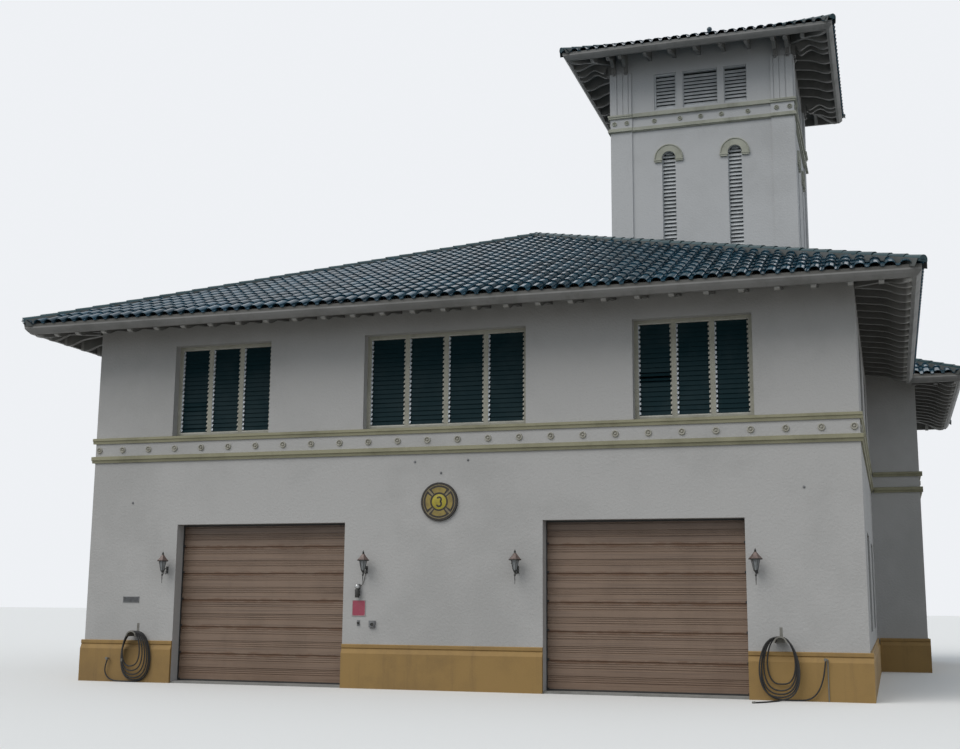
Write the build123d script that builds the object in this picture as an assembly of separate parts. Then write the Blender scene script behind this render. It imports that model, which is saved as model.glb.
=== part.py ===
from build123d import *
import math
import os

os.makedirs("parts", exist_ok=True)

# Driving dimensions in millimetres. X runs along the front, Y into the building, Z up.
# Y is counted from the outer face of the front wall, and save() moves it to the plan's centre.

# Plan of the main block and of the wing across its rear end
MAIN_HALF_WIDTH = 7660
WING_OUT = 1180
WING_HALF_WIDTH = MAIN_HALF_WIDTH + WING_OUT
BUILDING_DEPTH = 18000
WING_FRONT_Y = 10900
WALL = 300

# Floors
GROUND_FLOOR = 40
UPPER_FLOOR_TOP = 4400
UPPER_FLOOR_THICK = 200

# Vehicle doorways and their sectional doors
MIDDLE_PIER = 3950
DOORWAY_WIDTH = 3670
DOORWAY_CENTRE_X = (MIDDLE_PIER + DOORWAY_WIDTH) / 2
DOORWAY_HEIGHT = 3115
DOOR_SECTIONS = 6
DOOR_SECTION_HEIGHT = 525
DOOR_SECTION_THICK = 45
DOOR_SIDE_LAP = 60
SECTION_JOINT = 0.5
SECTION_BAND_OUT = 22
SECTION_RIB_OUT = 10
# Each section from its top joint down, as shares of its height: flat bands, and thin ribs between them
SECTION_BANDS = ((0.26, 0.50), (0.72, 0.97))
SECTION_RIB_AT = (0.06, 0.13, 0.20, 0.555, 0.61, 0.665)
SECTION_RIB_HEIGHT = 0.03

# People's door in the back wall
BACK_DOOR_WIDTH = 1000
BACK_DOOR_HEIGHT = 2150
BACK_DOOR_THICK = 50
BACK_DOOR_FRAME = 60

# Windows: upper row on every side, and a plain repeat below it at the sides and back
WINDOW_HEIGHT = 1875
UPPER_SILL = 4925
LOWER_SILL = 1100
THREE_LIGHT_WIDTH = 2180
FOUR_LIGHT_WIDTH = 3300
FRONT_WINDOW_X = 4780
FRAME_DEPTH = 80
FRAME_RECESS = 180
FRAME_STILE = 80
FRAME_RAIL = 60
MULLION = 90
GLASS = 6
MAIN_SIDE_WINDOW_Y = (3300, 7700)
WING_SIDE_WINDOW_Y = 14450

# Plinth and belt course
PLINTH_HEIGHT = 815
PLINTH_BODY = 645
PLINTH_NECK = 735
PLINTH_OUT = 60
PLINTH_LIP_OUT = 35
BELT_LOW = 4405
BELT_LOW_HEIGHT = 140
BELT_LOW_OUT = 70
BELT_HIGH_HEIGHT = 120
BELT_HIGH_OUT = 55
CORNER_JOINT = 0.5

# Roofs: the tile edge stands this far out of the wall. The main block's side planes are flatter.
EAVE_OUT = 1120
ROOF_SLOPE = 0.42
SIDE_SLOPE = 0.385
TOWER_SLOPE = 0.41
MAIN_EAVE_UNDER = 7145
ROOF_THICK = 55
FASCIA_DROP = 138
FASCIA_BACK = 160
FASCIA_FOOT = 90
FASCIA_LIP = 30

# Scroll-cut rafter tails under the eaves
RAFTER_PITCH = 610
RAFTER_WIDTH = 90
RAFTER_TAIL_DEPTH = 240
RAFTER_WAIST_DEPTH = 310
RAFTER_WALL_DEPTH = 440
RAFTER_TAIL_NOSE = 10
RAFTER_CUSP = 35
RAFTER_FIRST = 1155
SIDE_RAFTER_FIRST = 1170
JACK_RAFTER = 650
TOWER_JACK_RAFTER = 765

# Hose tower
TOWER_X = 3735
TOWER_FRONT_Y = 10000
TOWER_WIDTH = 4820
TOWER_WALL = 250
TOWER_EAVE_UNDER = 16250
PILASTER_WIDTH = 550
PILASTER_OUT = 40
FRIEZE_LOW = 14290
FRIEZE_HIGH = 14760
FRIEZE_BAR = 90
FRIEZE_OUT = 75
LOUVRE_SILL = 14835
LOUVRE_HEIGHT = 1025
LOUVRE_SIDE_WIDTH = 610
LOUVRE_MIDDLE_WIDTH = 940
LOUVRE_POST = 165
LOUVRE_PANEL = 60
LOUVRE_RECESS = 60
SLIT_OFFSET = 878
SLIT_WIDTH = 370
SLIT_SPRING = 13435
SLIT_FOOT = 10250
HOOD_WIDTH = 200
HOOD_OUT = 45
BRACKET_OFFSETS = (2010, 2330)
TOWER_RAFTER_PITCH = 665
BRACKET_HEIGHT = 740
FINIAL_BALL = 75
FINIAL_STEM = 45
FINIAL_HEIGHT = 345

# Fittings on the front wall, held from the edges of the vehicle doorways
PIER_EDGE = MIDDLE_PIER / 2
LANTERN_X = (PIER_EDGE - 475, PIER_EDGE + DOORWAY_WIDTH + 185)
LANTERN_TOP = 2560
BADGE_X = -40
BADGE_CENTRE_Z = 3483
BADGE_DIAMETER = 730
BADGE_THICK = 45
NOTICE_X = 331 - PIER_EDGE
NOTICE_LOW = 1340
NOTICE_WIDTH = 272
NOTICE_HEIGHT = 298
BELL_X = 320 - PIER_EDGE
OUTLET_X = 615 - PIER_EDGE
OUTLET_Z = 1194
KNOB_X = 328 - PIER_EDGE
KNOB_Z = 1209
VENT_X = -6625
VENT_LOW = 1561
VENT_WIDTH = 367
VENT_HEIGHT = 117

# Rubber hoses, hung in turns over a saddle beside each outer lantern
HOSE = 26
HOSE_CLEAR = 6
HANGER_RADIUS = 95
HANGER_SHEET = 4
HANGER_TONGUE = 50
HANGER_SEAT = 0.3
TAP_PIPE = 22
TAP_WHEEL = 52
COUPLING = 34
COUPLING_LENGTH = 55
# Each coil: middle X, middle-to-middle width, lowest and highest turn at inner and outer loop, pitch, turns
LEFT_COIL = dict(x=(-6432, -6402), half=(171, 330), foot=(383, 15), top=1003, pitch=28, turns=5.7)
RIGHT_COIL = dict(x=(6208, 6166), half=(205, 350), foot=(275, 15), top=1072, pitch=32, turns=5)
HOSE_WALL_GAP = 18
LEFT_TAIL = [(-7030, -118, 425), (-7078, -118, 300), (-7072, -114, 165), (-6990, -106, 62), (-6862, -98, 19),
             (-6700, -92, 14), (-6520, -90, 14), (-6350, -88, 17)]
RIGHT_TAIL = [(6933, -118, 668), (6916, -120, 520), (6880, -120, 350), (6818, -115, 190), (6722, -106, 72),
              (6600, -98, 20), (6440, -92, 14), (6260, -88, 17)]
RIGHT_END = [(6230, -243, 17), (6160, -330, 14), (6085, -450, 14), (6030, -590, 14), (5940, -740, 14),
             (5820, -860, 14)]

TOWER_HALF = TOWER_WIDTH / 2
TOWER_CENTRE_Y = TOWER_FRONT_Y + TOWER_HALF
BACK_Y = BUILDING_DEPTH
FACE = {"front": 0, "back": BACK_Y, "wing_front": WING_FRONT_Y}
HEIGHT_LIMIT = 30000


def save(name, *solids):
    """Writes one named sub-part, moved so that the origin is the plan's centre on the ground."""
    whole = Compound(children=list(solids)) if len(solids) > 1 else solids[0]
    export_step(Pos(0, -BUILDING_DEPTH / 2, 0) * whole, "parts/" + name + ".step")


def block(x, y, z):
    """A box from its lowest to its highest value along each axis."""
    size = (x[1] - x[0], y[1] - y[0], z[1] - z[0])
    return Pos(x[0], y[0], z[0]) * Solid.make_box(*size)


def prism(points, depth, plane):
    """A closed outline drawn on a plane and drawn out along its normal."""
    outline = make_face(Polyline([plane.from_local_coords(p) for p in points], close=True))
    return extrude(outline, amount=depth, dir=plane.z_dir)


def mirrored(solid):
    return solid.mirror(Plane.YZ)


def roof_under(distance, eave_under, slope):
    """Height of the roof's underside at a distance in from the tile edge."""
    return eave_under + slope * distance


def hip_space(x, y, eave_under, slope, side_slope):
    """Everything below the underside of a hip roof over a rectangle."""
    half_x = (x[1] - x[0]) / 2
    half_y = (y[1] - y[0]) / 2
    across = prism(
        [(x[0], 0), (x[1], 0), (x[1], eave_under), (x[0] + half_x, roof_under(half_x, eave_under, side_slope)),
         (x[0], eave_under)],
        y[1] - y[0], Plane(origin=(0, y[0], 0), x_dir=(1, 0, 0), z_dir=(0, -1, 0)))
    across = across.moved(Location((0, y[1] - y[0], 0)))
    along = prism(
        [(y[0], 0), (y[1], 0), (y[1], eave_under), (y[0] + half_y, roof_under(half_y, eave_under, slope)),
         (y[0], eave_under)],
        x[1] - x[0], Plane(origin=(x[0], 0, 0), x_dir=(0, 1, 0), z_dir=(1, 0, 0)))
    return across & along


# Plan lines of the tile edges
MAIN_EDGE = MAIN_HALF_WIDTH + EAVE_OUT
WING_EDGE = WING_HALF_WIDTH + EAVE_OUT
FRONT_EDGE = -EAVE_OUT
BACK_EDGE = BACK_Y + EAVE_OUT
WING_FRONT_EDGE = WING_FRONT_Y - EAVE_OUT
WING_RIDGE_RUN = (BACK_EDGE - WING_FRONT_EDGE) / 2
WING_RIDGE_Y = WING_FRONT_EDGE + WING_RIDGE_RUN
TOWER_EDGE = TOWER_HALF + EAVE_OUT

under_main = hip_space((-MAIN_EDGE, MAIN_EDGE), (FRONT_EDGE, BACK_EDGE), MAIN_EAVE_UNDER,
                       ROOF_SLOPE, SIDE_SLOPE)
under_wing = hip_space((-WING_EDGE, WING_EDGE), (WING_FRONT_EDGE, BACK_EDGE), MAIN_EAVE_UNDER,
                       ROOF_SLOPE, ROOF_SLOPE)
under_roof = under_main + under_wing
under_tower_roof = hip_space(
    (TOWER_X - TOWER_EDGE, TOWER_X + TOWER_EDGE),
    (TOWER_CENTRE_Y - TOWER_EDGE, TOWER_CENTRE_Y + TOWER_EDGE), TOWER_EAVE_UNDER, TOWER_SLOPE, TOWER_SLOPE)
tower_shaft = block((TOWER_X - TOWER_HALF, TOWER_X + TOWER_HALF),
                    (TOWER_FRONT_Y, TOWER_FRONT_Y + TOWER_WIDTH), (0, HEIGHT_LIMIT))


# A window is held by its centre along the wall, its width, its sill and its count of lights.
FRONT_WINDOWS = [(-FRONT_WINDOW_X, THREE_LIGHT_WIDTH, UPPER_SILL, 3),
                 (0, FOUR_LIGHT_WIDTH, UPPER_SILL, 4),
                 (FRONT_WINDOW_X, THREE_LIGHT_WIDTH, UPPER_SILL, 3)]
BACK_WINDOWS = FRONT_WINDOWS + [(-FRONT_WINDOW_X, THREE_LIGHT_WIDTH, LOWER_SILL, 3),
                                (FRONT_WINDOW_X, THREE_LIGHT_WIDTH, LOWER_SILL, 3)]
MAIN_SIDE_WINDOWS = [(y, THREE_LIGHT_WIDTH, sill, 3)
                     for y in MAIN_SIDE_WINDOW_Y for sill in (UPPER_SILL, LOWER_SILL)]
WING_SIDE_WINDOWS = [(WING_SIDE_WINDOW_Y, FOUR_LIGHT_WIDTH, sill, 4)
                     for sill in (UPPER_SILL, LOWER_SILL)]


def wall_frame(side):
    """Turns wall coordinates into the plan: along the wall, in from its outer face, and up."""
    places = {
        "front": Location((0, 0, 0)),
        "back": Location((0, BACK_Y, 0), (0, 0, 180)),
        "main_right": Location((MAIN_HALF_WIDTH, 0, 0), (0, 0, 90)),
        "wing_right": Location((WING_HALF_WIDTH, 0, 0), (0, 0, 90)),
    }
    return places[side]


def window_hole(window):
    centre, width, sill, lights = window
    return block((centre - width / 2, centre + width / 2), (-WALL, 2 * WALL),
                 (sill, sill + WINDOW_HEIGHT))


def window_frame(window):
    """Outer frame with its mullions, one piece, set back in the opening."""
    centre, width, sill, lights = window
    frame = block((centre - width / 2, centre + width / 2), (FRAME_RECESS, FRAME_RECESS + FRAME_DEPTH),
                  (sill, sill + WINDOW_HEIGHT))
    light = (width - 2 * FRAME_STILE - (lights - 1) * MULLION) / lights
    for i in range(lights):
        left = centre - width / 2 + FRAME_STILE + i * (light + MULLION)
        frame -= block((left, left + light), (0, FRAME_RECESS + FRAME_DEPTH),
                       (sill + FRAME_RAIL, sill + WINDOW_HEIGHT - FRAME_RAIL))
    return frame.solid()


def window_glass(window):
    centre, width, sill, lights = window
    behind = FRAME_RECESS + FRAME_DEPTH
    return block((centre - width / 2, centre + width / 2), (behind, behind + GLASS),
                 (sill, sill + WINDOW_HEIGHT))


def both_sides(pieces):
    return list(pieces) + [mirrored(p) for p in pieces]


def make_floors():
    inside = block((-MAIN_HALF_WIDTH + WALL, MAIN_HALF_WIDTH - WALL), (WALL, BACK_Y - WALL),
                   (0, HEIGHT_LIMIT))
    inside += block((-WING_HALF_WIDTH + WALL, WING_HALF_WIDTH - WALL),
                    (WING_FRONT_Y + WALL, BACK_Y - WALL), (0, HEIGHT_LIMIT))
    slab = block((-WING_HALF_WIDTH, WING_HALF_WIDTH), (0, BACK_Y), (0, GROUND_FLOOR))
    upper = block((-WING_HALF_WIDTH, WING_HALF_WIDTH), (0, BACK_Y),
                  (UPPER_FLOOR_TOP - UPPER_FLOOR_THICK, UPPER_FLOOR_TOP))
    ground = (slab & inside) - tower_shaft
    for x in (-DOORWAY_CENTRE_X, DOORWAY_CENTRE_X):
        ground += block((x - DOORWAY_WIDTH / 2, x + DOORWAY_WIDTH / 2), (0, WALL), (0, GROUND_FLOOR))
    save("ground_floor", ground.solid())
    save("upper_floor", ((upper & inside) - tower_shaft).solid())


def make_walls():
    front = block((-MAIN_HALF_WIDTH, MAIN_HALF_WIDTH), (0, WALL), (0, HEIGHT_LIMIT)) & under_main
    for x in (-DOORWAY_CENTRE_X, DOORWAY_CENTRE_X):
        front -= block((x - DOORWAY_WIDTH / 2, x + DOORWAY_WIDTH / 2), (-WALL, 2 * WALL),
                       (0, DOORWAY_HEIGHT))
    for window in FRONT_WINDOWS:
        front -= window_hole(window)
    save("front_wall", front.solid())

    back = block((-WING_HALF_WIDTH, WING_HALF_WIDTH), (BACK_Y - WALL, BACK_Y), (0, HEIGHT_LIMIT))
    back &= under_roof
    for window in BACK_WINDOWS:
        back -= wall_frame("back") * window_hole(window)
    back -= wall_frame("back") * block((-BACK_DOOR_WIDTH / 2, BACK_DOOR_WIDTH / 2), (-WALL, 2 * WALL),
                                       (0, BACK_DOOR_HEIGHT))
    save("back_wall", back.solid())

    side = block((MAIN_HALF_WIDTH - WALL, MAIN_HALF_WIDTH), (WALL, WING_FRONT_Y), (0, HEIGHT_LIMIT))
    side &= under_roof
    for window in MAIN_SIDE_WINDOWS:
        side -= wall_frame("main_right") * window_hole(window)
    save("right_wall", side.solid())
    save("left_wall", mirrored(side.solid()))

    wing_front = block((MAIN_HALF_WIDTH - WALL, WING_HALF_WIDTH),
                       (WING_FRONT_Y, WING_FRONT_Y + WALL), (0, HEIGHT_LIMIT)) & under_roof

    wing_side = block((WING_HALF_WIDTH - WALL, WING_HALF_WIDTH),
                      (WING_FRONT_Y + WALL, BACK_Y - WALL), (0, HEIGHT_LIMIT)) & under_roof
    for window in WING_SIDE_WINDOWS:
        wing_side -= wall_frame("wing_right") * window_hole(window)
    wing = (wing_front + wing_side).solid()
    save("wing_walls", wing, mirrored(wing))


def make_windows():
    front_frames = [window_frame(w) for w in FRONT_WINDOWS]
    front_glass = [window_glass(w) for w in FRONT_WINDOWS]
    save("front_window_frames", *front_frames)
    save("front_window_glass", *front_glass)
    frames = [wall_frame("back") * window_frame(w) for w in BACK_WINDOWS]
    glass = [wall_frame("back") * window_glass(w) for w in BACK_WINDOWS]
    for side, windows in (("main_right", MAIN_SIDE_WINDOWS), ("wing_right", WING_SIDE_WINDOWS)):
        frames += both_sides([wall_frame(side) * window_frame(w) for w in windows])
        glass += both_sides([wall_frame(side) * window_glass(w) for w in windows])
    save("side_and_back_window_frames", *frames)
    save("side_and_back_window_glass", *glass)


def door_section(centre, low):
    """One door section: a panel with flat bands and thin ribs pressed along its outer face."""
    half = DOORWAY_WIDTH / 2 + DOOR_SIDE_LAP
    clear = DOORWAY_WIDTH / 2 - 1
    section = block((centre - half, centre + half), (WALL, WALL + DOOR_SECTION_THICK),
                    (low, low + DOOR_SECTION_HEIGHT - SECTION_JOINT))
    top = low + DOOR_SECTION_HEIGHT
    bars = [(start, end, SECTION_BAND_OUT) for start, end in SECTION_BANDS]
    bars += [(start, start + SECTION_RIB_HEIGHT, SECTION_RIB_OUT) for start in SECTION_RIB_AT]
    for start, end, out in bars:
        high = min(top - start * DOOR_SECTION_HEIGHT, DOORWAY_HEIGHT - 1)
        foot = top - end * DOOR_SECTION_HEIGHT
        if high > foot:
            section += block((centre - clear, centre + clear), (WALL - out, WALL), (foot, high))
    return section.solid()


def make_doors():
    for name, centre in (("left_vehicle_door", -DOORWAY_CENTRE_X), ("right_vehicle_door", DOORWAY_CENTRE_X)):
        lows = [GROUND_FLOOR + i * DOOR_SECTION_HEIGHT for i in range(DOOR_SECTIONS)]
        save(name, *[door_section(centre, low) for low in lows])
    half = BACK_DOOR_WIDTH / 2
    leaf = block((-half + BACK_DOOR_FRAME, half - BACK_DOOR_FRAME),
                 (FRAME_RECESS, FRAME_RECESS + BACK_DOOR_THICK),
                 (GROUND_FLOOR, BACK_DOOR_HEIGHT - BACK_DOOR_FRAME))
    frame = block((-half, half), (FRAME_RECESS, FRAME_RECESS + FRAME_DEPTH), (0, BACK_DOOR_HEIGHT))
    frame -= block((-half + BACK_DOOR_FRAME, half - BACK_DOOR_FRAME), (0, FRAME_RECESS + FRAME_DEPTH),
                   (GROUND_FLOOR, BACK_DOOR_HEIGHT - BACK_DOOR_FRAME))
    save("back_door", wall_frame("back") * (leaf + frame).solid())


def plinth_run(start, end):
    """Splayed plinth along a wall: body, chamfer, neck and a small lip on top."""
    outline = [(0, 0), (-PLINTH_OUT, 0), (-PLINTH_OUT, PLINTH_BODY), (-PLINTH_LIP_OUT / 2, PLINTH_NECK),
               (-PLINTH_LIP_OUT, PLINTH_NECK + 15), (-PLINTH_LIP_OUT, PLINTH_HEIGHT - 10),
               (-PLINTH_LIP_OUT + 10, PLINTH_HEIGHT), (0, PLINTH_HEIGHT)]
    plane = Plane(origin=(start, 0, 0), x_dir=(0, 1, 0), z_dir=(1, 0, 0))
    return prism(outline, end - start, plane)


def belt_run(start, end):
    """The two mouldings of the belt course: a heavy lower one and the windows' sill above."""
    plane = Plane(origin=(start, 0, 0), x_dir=(0, 1, 0), z_dir=(1, 0, 0))
    top = BELT_LOW + BELT_LOW_HEIGHT
    low = [(0, BELT_LOW), (-0.45 * BELT_LOW_OUT, BELT_LOW), (-0.6 * BELT_LOW_OUT, BELT_LOW + 45),
           (-BELT_LOW_OUT, BELT_LOW + 60), (-BELT_LOW_OUT, top - 15), (0, top)]
    foot = UPPER_SILL - BELT_HIGH_HEIGHT
    high = [(0, foot), (-0.5 * BELT_HIGH_OUT, foot), (-0.65 * BELT_HIGH_OUT, foot + 50),
            (-BELT_HIGH_OUT, foot + 62), (-BELT_HIGH_OUT, UPPER_SILL - 12), (0, UPPER_SILL)]
    return [prism(low, end - start, plane), prism(high, end - start, plane)]


def make_plinth_and_belt():
    inner = DOORWAY_CENTRE_X - DOORWAY_WIDTH / 2
    outer = DOORWAY_CENTRE_X + DOORWAY_WIDTH / 2
    front = [plinth_run(-inner, inner)]
    front += both_sides([plinth_run(outer, MAIN_HALF_WIDTH + PLINTH_OUT)])

    # The side and rear runs start a hair past the runs that they meet at the corners.
    wing_front = Pos(0, WING_FRONT_Y, 0) * plinth_run(MAIN_HALF_WIDTH + PLINTH_OUT + CORNER_JOINT,
                                                      WING_HALF_WIDTH + PLINTH_OUT)
    main_side = wall_frame("main_right") * plinth_run(CORNER_JOINT, WING_FRONT_Y)
    wing_side = wall_frame("wing_right") * plinth_run(WING_FRONT_Y + CORNER_JOINT, BACK_Y)
    rear = wall_frame("back") * plinth_run(BACK_DOOR_WIDTH / 2, WING_HALF_WIDTH - CORNER_JOINT)
    save("plinth", *front, *both_sides([wing_front, main_side, wing_side, rear]))

    front = belt_run(-MAIN_HALF_WIDTH - BELT_HIGH_OUT, MAIN_HALF_WIDTH + BELT_HIGH_OUT)
    runs = [Pos(0, WING_FRONT_Y, 0) * bar
            for bar in belt_run(MAIN_HALF_WIDTH + BELT_LOW_OUT + CORNER_JOINT,
                                WING_HALF_WIDTH + BELT_LOW_OUT)]
    runs += [wall_frame("main_right") * bar for bar in belt_run(CORNER_JOINT, WING_FRONT_Y)]
    runs += [wall_frame("wing_right") * bar for bar in belt_run(WING_FRONT_Y + CORNER_JOINT, BACK_Y)]
    rear = [wall_frame("back") * bar
            for bar in belt_run(-WING_HALF_WIDTH + CORNER_JOINT, WING_HALF_WIDTH - CORNER_JOINT)]
    save("belt_course", *front, *both_sides(runs), *rear)


def roof_plate(corners, distance, eave_under, slope):
    """A sloping plate over a plan outline. distance gives each corner's way in from its tile edge."""
    points = [(x, y, roof_under(distance(x, y), eave_under, slope)) for x, y in corners]
    under = make_face(Polyline(points, close=True))
    return extrude(under, amount=ROOF_THICK, dir=(0, 0, 1))


def make_main_roof():
    flatter = SIDE_SLOPE / ROOF_SLOPE
    apex_front = (0, FRONT_EDGE + flatter * MAIN_EDGE)
    apex_back = (0, BACK_EDGE - flatter * MAIN_EDGE)
    valley_foot = (MAIN_EDGE, WING_FRONT_EDGE)
    valley_head = (MAIN_EDGE - WING_RIDGE_RUN / flatter, WING_RIDGE_Y)
    wing_corner = (WING_EDGE, WING_FRONT_EDGE)
    rear_corner = (WING_EDGE, BACK_EDGE)
    wing_apex = (WING_EDGE - WING_RIDGE_RUN, WING_RIDGE_Y)
    left = lambda p: (-p[0], p[1])

    from_front = lambda x, y: y - FRONT_EDGE
    from_back = lambda x, y: BACK_EDGE - y
    from_side = lambda x, y: MAIN_EDGE - abs(x)
    from_wing_front = lambda x, y: y - WING_FRONT_EDGE
    from_wing_side = lambda x, y: WING_EDGE - abs(x)

    front = roof_plate([(-MAIN_EDGE, FRONT_EDGE), (MAIN_EDGE, FRONT_EDGE), apex_front],
                       from_front, MAIN_EAVE_UNDER, ROOF_SLOPE)
    side = roof_plate([(MAIN_EDGE, FRONT_EDGE), valley_foot, valley_head, apex_back, apex_front],
                      from_side, MAIN_EAVE_UNDER, SIDE_SLOPE)
    wing_front = roof_plate([valley_foot, wing_corner, wing_apex, valley_head],
                            from_wing_front, MAIN_EAVE_UNDER, ROOF_SLOPE)
    hip = Vector(CORNER_JOINT, CORNER_JOINT)
    wing_side = roof_plate([(wing_corner[0], wing_corner[1] + hip.Y), rear_corner, (wing_apex[0] + hip.X, wing_apex[1])],
                           from_wing_side, MAIN_EAVE_UNDER, ROOF_SLOPE)
    back = roof_plate([left(rear_corner), rear_corner, wing_apex, valley_head, apex_back,
                       left(valley_head), left(wing_apex)], from_back, MAIN_EAVE_UNDER, ROOF_SLOPE)
    # The tower may cut a plane in two, so each is saved with all its solids.
    save("front_roof", *(front - tower_shaft).solids())
    save("right_roof", *(side - tower_shaft).solids())
    save("left_roof", mirrored(side.solid()))
    save("wing_roofs", *(wing_front - tower_shaft).solids(), *(wing_side - tower_shaft).solids(),
         mirrored(wing_front.solid()), mirrored(wing_side.solid()))
    save("back_roof", *(back - tower_shaft).solids())


def fascia_run(start, end, eave_under, slope, mitre_start=1, mitre_end=1):
    """Gutter-shaped fascia under a tile edge that lies at Y = 0, with mitred ends.

    A mitre of 1 is an outer corner, -1 an inner one and 0 a square end.
    """
    foot = eave_under - FASCIA_DROP
    outline = [(0, eave_under - FASCIA_LIP), (0, eave_under), (FASCIA_BACK, roof_under(FASCIA_BACK, eave_under, slope)),
               (FASCIA_BACK, foot), (FASCIA_FOOT, foot), (0.35 * FASCIA_FOOT, eave_under - 0.55 * FASCIA_DROP)]
    reach = 2 * FASCIA_BACK
    plane = Plane(origin=(start - reach, 0, 0), x_dir=(0, 1, 0), z_dir=(1, 0, 0))
    bar = prism(outline, end - start + 2 * reach, plane)
    keep = [(start, 0), (end, 0), (end - mitre_end * reach, reach), (start + mitre_start * reach, reach)]
    mitred = prism(keep, HEIGHT_LIMIT, Plane.XY)
    return bar & mitred


def make_fascias():
    joint = CORNER_JOINT
    front = Pos(0, FRONT_EDGE, 0) * fascia_run(-MAIN_EDGE, MAIN_EDGE, MAIN_EAVE_UNDER, ROOF_SLOPE) & under_main
    right = Location((MAIN_EDGE, 0, 0), (0, 0, 90))
    wing_right = Location((WING_EDGE, 0, 0), (0, 0, 90))
    main_side = right * fascia_run(FRONT_EDGE + joint, WING_FRONT_EDGE, MAIN_EAVE_UNDER, SIDE_SLOPE, 1, -1)
    wing_front = Pos(0, WING_FRONT_EDGE, 0) * fascia_run(
        MAIN_EDGE + joint, WING_EDGE, MAIN_EAVE_UNDER, ROOF_SLOPE, -1, 1)
    wing_side = wing_right * fascia_run(WING_FRONT_EDGE + joint, BACK_EDGE, MAIN_EAVE_UNDER, ROOF_SLOPE)
    back = Location((0, BACK_EDGE, 0), (0, 0, 180)) * fascia_run(
        -WING_EDGE + joint, WING_EDGE - joint, MAIN_EAVE_UNDER, ROOF_SLOPE)
    runs = both_sides([main_side.solid(), wing_front.solid(), wing_side.solid()])
    save("main_fascia", front.solid(), *runs, back.solid())

    tower_runs = []
    for turn in range(4):
        start = -TOWER_EDGE + (joint if turn % 2 else 0)
        run = Pos(0, -TOWER_EDGE, 0) * fascia_run(start, -start, TOWER_EAVE_UNDER, TOWER_SLOPE)
        tower_runs.append(Location((TOWER_X, TOWER_CENTRE_Y, 0), (0, 0, 90 * turn)) * run.solid())
    save("tower_fascia", *tower_runs)


def rafter_tail(eave_under, slope, stretch=1):
    """A rafter tail at X = 0, from the fascia's back to the wall, its underside cut as a scroll.

    A hip's tail runs on the diagonal, where every distance from the edge is stretched.
    """
    nose = FASCIA_BACK
    span = EAVE_OUT - nose
    waist = nose + 0.42 * span
    low_nose = roof_under(nose, eave_under, slope) - RAFTER_TAIL_DEPTH
    low_waist = roof_under(waist, eave_under, slope) - RAFTER_WAIST_DEPTH
    low_wall = roof_under(EAVE_OUT, eave_under, slope) - RAFTER_WALL_DEPTH
    run = lambda distance, height: (stretch * distance, height)
    with BuildSketch(Plane(origin=(-RAFTER_WIDTH / 2, 0, 0), x_dir=(0, 1, 0), z_dir=(1, 0, 0))) as side:
        with BuildLine():
            Polyline(run(nose, low_nose + RAFTER_TAIL_NOSE), run(nose, roof_under(nose, eave_under, slope)),
                     run(EAVE_OUT, roof_under(EAVE_OUT, eave_under, slope)), run(EAVE_OUT, low_wall))
            Spline([run(EAVE_OUT, low_wall), run(nose + 0.72 * span, low_wall - RAFTER_CUSP),
                    run(waist, low_waist), run(nose + 0.18 * span, low_nose),
                    run(nose, low_nose + RAFTER_TAIL_NOSE)])
        make_face()
    return extrude(side.sketch, amount=RAFTER_WIDTH).solid()


def corner_tails(eave_under, slopes, jack, under):
    """A hip's tail and one short tail on each side of it, at a roof corner on the left of the front.

    The tile edges meet at the origin, and the building lies at positive X and Y.
    """
    first, second = slopes
    hip = Rot(0, 0, -45) * rafter_tail(eave_under, min(slopes), math.sqrt(2))
    to_rafter = RAFTER_FIRST - RAFTER_WIDTH / 2 - 1
    inside = block((FASCIA_BACK, to_rafter), (FASCIA_BACK, to_rafter), (0, HEIGHT_LIMIT))
    hip = (hip & inside & under).solid()
    band = Rot(0, 0, -45) * block((-RAFTER_WIDTH / 2 - 1, RAFTER_WIDTH / 2 + 1), (-EAVE_OUT, 3 * EAVE_OUT),
                                  (0, HEIGHT_LIMIT))
    on_front = Pos(jack, 0, 0) * rafter_tail(eave_under, first) - band
    on_side = Location((0, jack, 0), (0, 0, -90)) * rafter_tail(eave_under, second) - band
    nearest = lambda shape, way: min(shape.solids(), key=way)
    return [hip, nearest(on_front, lambda s: s.center().Y), nearest(on_side, lambda s: s.center().X)]


def rafter_places(low, high, pitch):
    """Even places between two limits, centred."""
    count = int((high - low) // pitch)
    first = (low + high) / 2 - count * pitch / 2
    return [first + i * pitch for i in range(count + 1)]


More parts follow.
